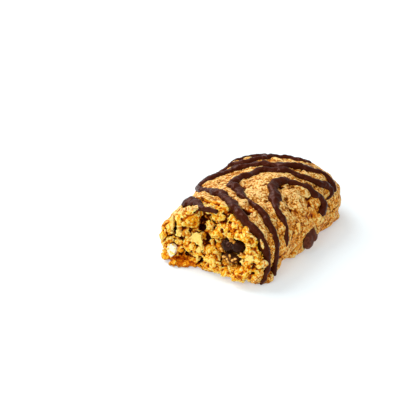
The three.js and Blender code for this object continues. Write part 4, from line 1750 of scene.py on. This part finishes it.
# %% Routes over the crust
# angle, y, half width at the stops of each stroke
STRANDS = [
    [(-82, -27, 0.4), (-76, -25, 0.6), (-68, -22.4, 0.7), (-58, -20.5, 1.0), (-48, -19.8, 1.3),
     (-38, -20.6, 1.8), (-30, -21.5, 1.75), (-22, -22.9, 1.35), (-12, -24.7, 1.1),
     (-4.5, -25.5, 0.95), (2, -25.8, 0.6)],
    [(112, -26.7, 0.7), (96, -26.4, 0.75), (80, -25.9, 0.85), (62, -25.6, 0.95), (44, -25.2, 1.1),
     (32, -24.8, 1.3), (22.5, -23.7, 1.5), (14, -21.9, 1.4), (5, -19.8, 1.5), (-0.2, -18.6, 1.4),
     (-7.2, -16.6, 1.5), (-16, -15.6, 1.4), (-28, -14.2, 1.1), (-44, -12.0, 1.2), (-51, -9.4, 1.2),
     (-48, -6.2, 1.4), (-45, -2.8, 1.35), (-40, 0.2, 1.2), (-34, 2.7, 1.1), (-24.5, 4.5, 1.1),
     (-17, 5.9, 1.1), (-8, 7.4, 1.2), (3, 9.2, 1.3), (14, 12, 1.3), (26, 14.2, 1.2),
     (38, 16.6, 1.2), (52, 18, 1.2), (66, 17, 0.9)],
    [(106, -22.1, 0.75), (90, -22, 0.8), (76, -21, 0.9), (62, -20.1, 1.05), (48, -19, 1.2),
     (36, -17.4, 1.2), (26, -16.7, 1.1), (19, -16, 0.7), (12, -15.1, 0.5), (7, -14.6, 0.9),
     (3.2, -13.4, 1.4), (-1, -11.3, 1.65), (-6.2, -9.8, 1.6), (-11.3, -8.9, 1.4),
     (-12.3, -6.7, 1.5), (-10.2, -4.4, 1.6), (-7.2, -1.8, 1.5), (-6, 1.2, 1.3), (-3.5, 3.6, 1.3),
     (5, 6, 1.2), (18, 8, 1.2), (32, 8.7, 1.2), (44, 11, 1.2), (57, 14.4, 1.3), (67, 13.8, 0.8),
     (69, 11, 0.7)],
    [(82, -17, 0.5), (72, -15.2, 0.75), (66, -14.2, 0.9), (60, -13.5, 1.0), (53, -13.1, 1.1),
     (46, -13, 1.1), (39, -12.6, 1.15), (33, -10.8, 1.4), (27, -8.6, 2.1), (22.5, -6.5, 1.9),
     (17, -4.7, 1.75), (14.3, -2.6, 1.65), (15.5, -0.3, 1.5), (19, 1.8, 1.35), (24.5, 3, 1.3),
     (31, 3.8, 1.2), (38, 4.9, 1.3), (49, 5.8, 1.3), (61, 7.5, 1.15), (70, 8.2, 1.2),
     (76, 7.3, 1.2), (80, 5.5, 1.45)],
    [(-98, -3.4, 0.7), (-80, -1.8, 0.9), (-62, 1, 0.9), (-46, 5.2, 1.0), (-30, 7.6, 1.0),
     (-18, 11.6, 1.0), (-9, 17.2, 1.1), (2, 20, 1.1), (14, 20.9, 0.7)],
    [(-100, 3.2, 0.7), (-82, 3, 0.8), (-64, 5.4, 0.8), (-50, 9.6, 0.9), (-37, 14.4, 0.9),
     (-24, 16.7, 0.9), (-13, 15.8, 0.9)],
]
MM_PER_DEGREE = 0.3
ROUTE_STEP = 0.12
LEAST_GAP = 1e-6


def tangent(before, here, after, gap_before, gap_after):
    """The slope of the curve at one stop, where near neighbours count for more."""
    straight = (after - before) / (gap_before + gap_after)
    return (here - before) / gap_before - straight + (after - here) / gap_after


def smooth_route(stops):
    """Close points along a curve through the stops, as angle, y and half width.

    This is a centripetal Catmull-Rom curve. It passes through every stop and makes no loops where
    two of them are close together."""
    knots = np.array([(angle * MM_PER_DEGREE, y, half) for angle, y, half in stops], float)
    knots = np.vstack([2 * knots[0] - knots[1], knots, 2 * knots[-1] - knots[-2]])
    route = []
    for before, start, end, after in zip(knots, knots[1:], knots[2:], knots[3:]):
        steps = (start - before, end - start, after - end)
        gaps = [math.sqrt(max(np.linalg.norm(step), LEAST_GAP)) for step in steps]
        leave = gaps[1] * tangent(before, start, end, gaps[0], gaps[1])
        arrive = gaps[1] * tangent(start, end, after, gaps[1], gaps[2])
        count = max(2, round(np.linalg.norm(end - start) / ROUTE_STEP))
        for t in np.arange(count) / count:
            route.append((2 * t**3 - 3 * t**2 + 1) * start + (t**3 - 2 * t**2 + t) * leave
                         + (3 * t**2 - 2 * t**3) * end + (t**3 - t**2) * arrive)
    route = np.array(route)
    return route[:, 0] / MM_PER_DEGREE, route[:, 1], route[:, 2]


route_points = sum(len(smooth_route(stops)[0]) for stops in STRANDS)
print(len(STRANDS), "strands,", route_points, "points on their routes")

# %% Away from the loaf
PROBE_MM = 0.1
PROBE_DEGREES = 1


def outward_at(angle, y):
    """Directions that point straight away from the smooth loaf."""
    onward = loaf_point(angle, y + PROBE_MM) - loaf_point(angle, y - PROBE_MM)
    around = loaf_point(angle + PROBE_DEGREES, y) - loaf_point(angle - PROBE_DEGREES, y)
    outward = np.cross(around, onward)
    return outward / np.linalg.norm(outward, axis=-1, keepdims=True)


print("away from the loaf at 45 degrees:", np.round(outward_at(45, 0), 2))

# %% Lobed edges
LOBE_LENGTH = (1.3, 3.6)
LOBE_BIAS = 1.3      # above 1 there are more small lobes than large ones
LOBE_SQUARENESS = 2.5
LOBE_LEVEL = 0.3     # the notches lie this much inside the strand's own edge
SPARE_LOBES = 5


def edge_lobes(length, seed):
    """How far each point of a strand's edge bulges: lobes of uneven length, with notches between."""
    random = np.random.default_rng(seed)
    count = int(length[-1] / LOBE_LENGTH[0]) + SPARE_LOBES
    notches = np.cumsum(random.uniform(*LOBE_LENGTH, count)) - LOBE_LENGTH[1]
    size = random.uniform(0.0, 1.0, len(notches)) ** LOBE_BIAS
    at = np.searchsorted(notches, length)
    share = (length - notches[at - 1]) / (notches[at] - notches[at - 1])
    return size[at] * (1 - np.abs(2 * share - 1) ** LOBE_SQUARENESS) - LOBE_LEVEL


print("an edge over 5 mm:", np.round(edge_lobes(np.arange(6.0), 1), 2))

# %% Beads along a strand
STRAND_HEIGHT = 0.8
LEAST_HEIGHT = 0.15
STRAND_LIFT = (-0.45, 0.2, 0.2, 0.2, 0.2, 0.2)  # how far above the crust the middle of its beads lies
STRAND_SLIM = 0.88
END_ROUNDING = 0.6
LEAST_END = 0.12
LOBE_SHARE = 0.85
EDGE_SEEDS = (300, 400)
SURGE = 0.22
SURGE_LENGTH = 2.0
SURGE_STRIDE = 9


def rounded_ends(length):
    """The share of its width that a strand has along its length, less at both ends."""
    end = np.minimum(length, length[-1] - length) / END_ROUNDING
    return np.sqrt(np.clip(end * (2 - end), LEAST_END, 1) * (end < 1) + (end >= 1))


def beads(order, stops):
    """Centres, ways out of the crust, half widths and heights of the beads of one strand."""
    angle, y, half = smooth_route(stops)
    centre = crust_point(angle, y)
    outward = outward_at(angle, y)
    length = np.concatenate([[0], np.cumsum(np.linalg.norm(np.diff(centre, axis=0), axis=1))])
    left, right = [LOBE_SHARE * edge_lobes(length, seed + order) for seed in EDGE_SEEDS]
    half = STRAND_SLIM * half * rounded_ends(length)
    sideways = np.cross(outward, np.gradient(centre, axis=0))
    sideways /= np.maximum(np.linalg.norm(sideways, axis=1, keepdims=True), TINY)
    centre = centre + sideways * (half * (left - right) / 2)[:, None] + outward * STRAND_LIFT[order]
    surge = 1 + SURGE * swell(length, 0 * length, 0 * length + SURGE_STRIDE * order, SURGE_LENGTH)
    height = (half * STRAND_HEIGHT + LEAST_HEIGHT) * surge
    return centre, outward, half * (1 + (left + right) / 2), height


for order, stops in enumerate(STRANDS):
    _, _, half, height = beads(order, stops)
    print("strand", order + 1, "is", round(2 * half.mean(), 2), "mm wide and rises",
          round(height.mean(), 2), "mm")

# %% Chocolate as a volume
DRIZZLE_CUBE = 0.2
DRIZZLE_MERGING = 0.02
SOAK = 1.9           # the beads reach this many times deeper than they stand up
DRIZZLE_DEPTH = 1.5  # and are cut off this deep under the skin
POUR_MARGIN = 0.7
DRIZZLE_SWELLS = [(1.2, 0.18, 31), (0.7, 0.07, 32)]  # size, height and seed


def pour(block):
    """The field of all strands, by stamping a flattened bead at each point of their routes."""
    field = np.full(block.shape, SKIN_REACH, np.float32)
    for order, stops in enumerate(STRANDS):
        for centre, outward, half, height in zip(*beads(order, stops)):
            slices, (dx, dy, dz) = block.window(centre, half + POUR_MARGIN)
            up = outward[0] * dx + outward[1] * dy + outward[2] * dz
            flat = np.maximum(dx * dx + dy * dy + dz * dz - up * up, 0)
            reach = np.where(up > 0, height, SOAK * height)
            bead = (np.sqrt(flat / (half * half) + (up / reach) ** 2) - 1) * height
            np.minimum(field[slices], bead, out=field[slices])
    return field


drizzle_block = Block((-20.3, -30, 0), (20.3, 26, 22), DRIZZLE_CUBE)
drizzle_field = pour(drizzle_block)
drizzle_field += swells_over(drizzle_block, DRIZZLE_SWELLS)
drizzle_field = np.maximum(drizzle_field, -(distance_to_skin(drizzle_block) + DRIZZLE_DEPTH))
drizzle = add_piece("drizzle", *mesh_of(drizzle_block, drizzle_field, DRIZZLE_MERGING))

# %% [markdown]
# ## Chocolate
#
# Plain chocolate that set on its own has a satin shine, not a mirror's: broad soft highlights, a
# little brown in them, and a surface that dimples as it cools. So the roughness is middling and
# drifts from place to place, the shine is tinted, and a shallow bump bends it. The colour drifts
# too, because a single flat brown looks like plastic.

# %% Chocolate finish
SHEEN_TINT = (1.0, 0.40, 0.29)
CLOUD_SIZE = 2.5
CLOUD_DETAIL = 3
CLOUD_STEP = (0.35, 0.7)
CLOUD_LIGHTER = 1.35
SATIN_SIZE = 1.2
SATIN_STEP = (0.3, 0.7)
SATIN_RANGE = (-0.08, 0.1)
CHOCOLATE_BUMP = {"size_mm": 0.7, "detail": 2, "roughness": 0.5, "strength": 0.35}


def lighter(colour, times):
    return tuple(v * times for v in colour)


def clouded(finish, colour):
    """The colour with lighter clouds in it."""
    cloud = soft_step(finish, noise(finish, CLOUD_SIZE, CLOUD_DETAIL), *CLOUD_STEP)
    return mix(finish, cloud, colour, lighter(colour, CLOUD_LIGHTER))


def chocolate(finish, brown, roughness, gloss, bump_mm):
    satin = [roughness + change for change in SATIN_RANGE]
    rough_map = soft_step(finish, noise(finish, SATIN_SIZE), *SATIN_STEP, *satin)
    finish.feed(finish.shader.inputs["Base Color"], brown)
    finish.feed(finish.shader.inputs["Roughness"], rough_map)
    finish.feed(finish.shader.inputs["Specular IOR Level"], gloss)
    finish.feed(finish.shader.inputs["Specular Tint"], SHEEN_TINT)
    add_bump(finish, **CHOCOLATE_BUMP, depth_mm=bump_mm)
    return finish.material


print("the shine's tint:", SHEEN_TINT)

# %% Chocolate of the drizzle
DRIZZLE_COLOUR = (0.042, 0.0070, 0.0019)
DRIZZLE_ROUGHNESS = 0.30
DRIZZLE_GLOSS = 0.17
DRIZZLE_BUMP = 0.18

satin_chocolate = Finish("drizzled chocolate")
satin_brown = clouded(satin_chocolate, DRIZZLE_COLOUR)
drizzle.data.materials.append(
    chocolate(satin_chocolate, satin_brown, DRIZZLE_ROUGHNESS, DRIZZLE_GLOSS, DRIZZLE_BUMP))
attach(drizzle, "root")
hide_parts("bar")
print("drizzle:", drizzle.data.materials[0].name)

# %% [markdown]
# ## Chips
#
# Chips keep their place in the oven but go soft, so they come out slumped and wrinkled. These three
# differ: the one in the break is dark and glossy, the one below it was smeared and is covered in
# crumbs, and the one in the wall is wrinkled and duller. A subdivided ball with a wrinkle texture
# would serve for a clean chip. But crumbs are stuck in this chocolate, and joining those is a
# volume's work, so the fields that laid the chips free get lumps, wrinkles and crumbs of their own.

# %% Finish of each chip
# colour, roughness, gloss, wrinkles in mm, and the crumbs stuck on it: x, y, z and half size
CHIP_FINISH = {
    "chocolate_chip_front": ((0.013, 0.0045, 0.002), 0.24, 0.26, 0.16, [
        (6.9, -27.9, 12.3, 0.8), (6.2, -27.6, 12.7, 0.6), (7.8, -27.8, 12.0, 0.55),
        (4.4, -28.9, 8.7, 0.5), (3.9, -28.6, 9.1, 0.45), (10.3, -28.2, 9.0, 0.45)]),
    "chocolate_chip_low": ((0.07, 0.022, 0.007), 0.40, 0.10, 0.16, [
        (5.0, -29.0, 7.0, 0.5), (5.7, -29.4, 7.4, 0.4), (6.5, -29.5, 6.9, 0.45), (7.4, -29.5, 7.5, 0.4),
        (8.2, -29.4, 6.9, 0.5), (8.9, -29.1, 7.4, 0.45), (6.9, -29.5, 6.2, 0.4), (7.9, -29.4, 6.0, 0.35),
        (5.8, -29.4, 6.2, 0.4), (9.1, -29.0, 6.4, 0.4), (5.0, -29.0, 6.2, 0.35), (7.2, -29.2, 8.0, 0.5)]),
    "chocolate_chip_side": ((0.084, 0.024, 0.012), 0.42, 0.14, 0.32, [
        (17.9, -0.5, 2.9, 0.4), (18.9, -4.2, 3.6, 0.35)]),
}
CHIP_BUMP = 0.1
RIDGE_STEP = (0.5, 0.34)
# the ridges of a chip are painted lighter, as painted highlight
RIDGE_PAINTED_HIGHLIGHT = 1.9
CRUMB_STEP = (0.1, 0.3)
STUCK_CRUMB_COLOURS = [(0.4, (0.30, 0.10, 0.012)), (0.7, (0.75, 0.33, 0.04)), (1.0, (0.95, 0.55, 0.16))]


def chip_finish(name):
    """Chocolate with painted highlights on its ridges, and the crumbs' own colours."""
    colour, roughness, gloss, _, _ = CHIP_FINISH[name]
    finish = Finish(name.replace("_", " "))
    ridge = soft_step(finish, known(finish, "ridge"), *RIDGE_STEP)
    brown = mix(finish, ridge, clouded(finish, colour), lighter(colour, RIDGE_PAINTED_HIGHLIGHT))
    stuck = known(finish, "crumb")
    crumbed = soft_step(finish, stuck, *CRUMB_STEP)
    brown = mix(finish, crumbed, brown, colour_ramp(finish, stuck, STUCK_CRUMB_COLOURS))
    return chocolate(finish, brown, roughness, gloss, CHIP_BUMP)


for name, (_, _, gloss, wrinkles, crumbs) in CHIP_FINISH.items():
    print(name, "has gloss", gloss, "wrinkles of", wrinkles, "mm and", len(crumbs), "crumbs")

# %% Lumps and wrinkles of a chip
CHIP_CUBE = 0.12
CHIP_MARGIN = 1.2
CHIP_LUMPS = [(2.8, 0.28, 44)]  # size, height and seed
SOFT_WRINKLES = [(1.5, 0.6, 41)]
SHARP_WRINKLES = [(1.1, 1.0, 42)]
SHARP_SHARE = 1.4
SHARP_POWER = 0.7
WRINKLE_LEVEL = 0.5


def chip_field(name):
    """A block round the chip, and the chip's field in it."""
    lobes = CHIPS[name]
    wrinkles = CHIP_FINISH[name][3]
    middles, halves = np.array(lobes).transpose(1, 0, 2)
    low, high = (middles - halves).min(0) - CHIP_MARGIN, (middles + halves).max(0) + CHIP_MARGIN
    block = Block(low, high, CHIP_CUBE)
    field = chip_distance(block.x, block.y, block.z, lobes).astype(np.float32)
    sharp = SHARP_SHARE * np.abs(swells_over(block, SHARP_WRINKLES)) ** SHARP_POWER
    field += wrinkles * (swells_over(block, SOFT_WRINKLES) + sharp - WRINKLE_LEVEL)
    field += swells_over(block, CHIP_LUMPS)
    return block, field


print("a chip's cubes are", CHIP_CUBE, "mm wide")

# %% Crumbs stuck on a chip
STUCK_SHAPE = np.array([1, 0.8, 0.75])
STUCK_MARGIN = 0.5
STUCK_TONE = 0.4  # the darkest crumb
MORE_TONE = 0.6   # and how much lighter the lightest may be
STUCK_GRIT = [(0.5, 0.1, 43)]


def stick_crumbs(block, field, name):
    """Joins the crumbs to the chip, and returns a field with each crumb's tone."""
    random = np.random.default_rng(len(name))
    crumbed = np.zeros(block.shape, np.float32)
    grit = swells_over(block, STUCK_GRIT)
    for x, y, z, half in CHIP_FINISH[name][4]:
        slices, offsets = block.window((x, y, z), half + STUCK_MARGIN)
        turn = random_turn(random)
        piece = angular(offsets, half * STUCK_SHAPE, turn, random_sides(random, GRAIN_SIDES)) + grit[slices]
        tone = STUCK_TONE + MORE_TONE * random.random()
        crumbed[slices] = np.where(piece < field[slices], tone, crumbed[slices])
        field[slices] = np.minimum(field[slices], piece)
    return crumbed


print("crumbs to stick on:", sum(len(finish[4]) for finish in CHIP_FINISH.values()))

# %% The three chips
RIDGE_REACH = 3


def add_chip(name):
    block, field = chip_field(name)
    crumbed = stick_crumbs(block, field, name)
    points, triangles, quads = mesh_of(block, field)
    soft = np.clip(0.5 - field / block.cube, 0, 1).astype(np.float32)
    values = {
        "crumb": block.sample(crumbed, points),
        "ridge": block.sample(blur(soft, RIDGE_REACH), points),
    }
    chip = add_piece(name + "_melted", points, triangles, quads, values)
    chip.data.materials.append(chip_finish(name))
    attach(chip, "root")
    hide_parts(name)


for name in CHIPS:
    add_chip(name)
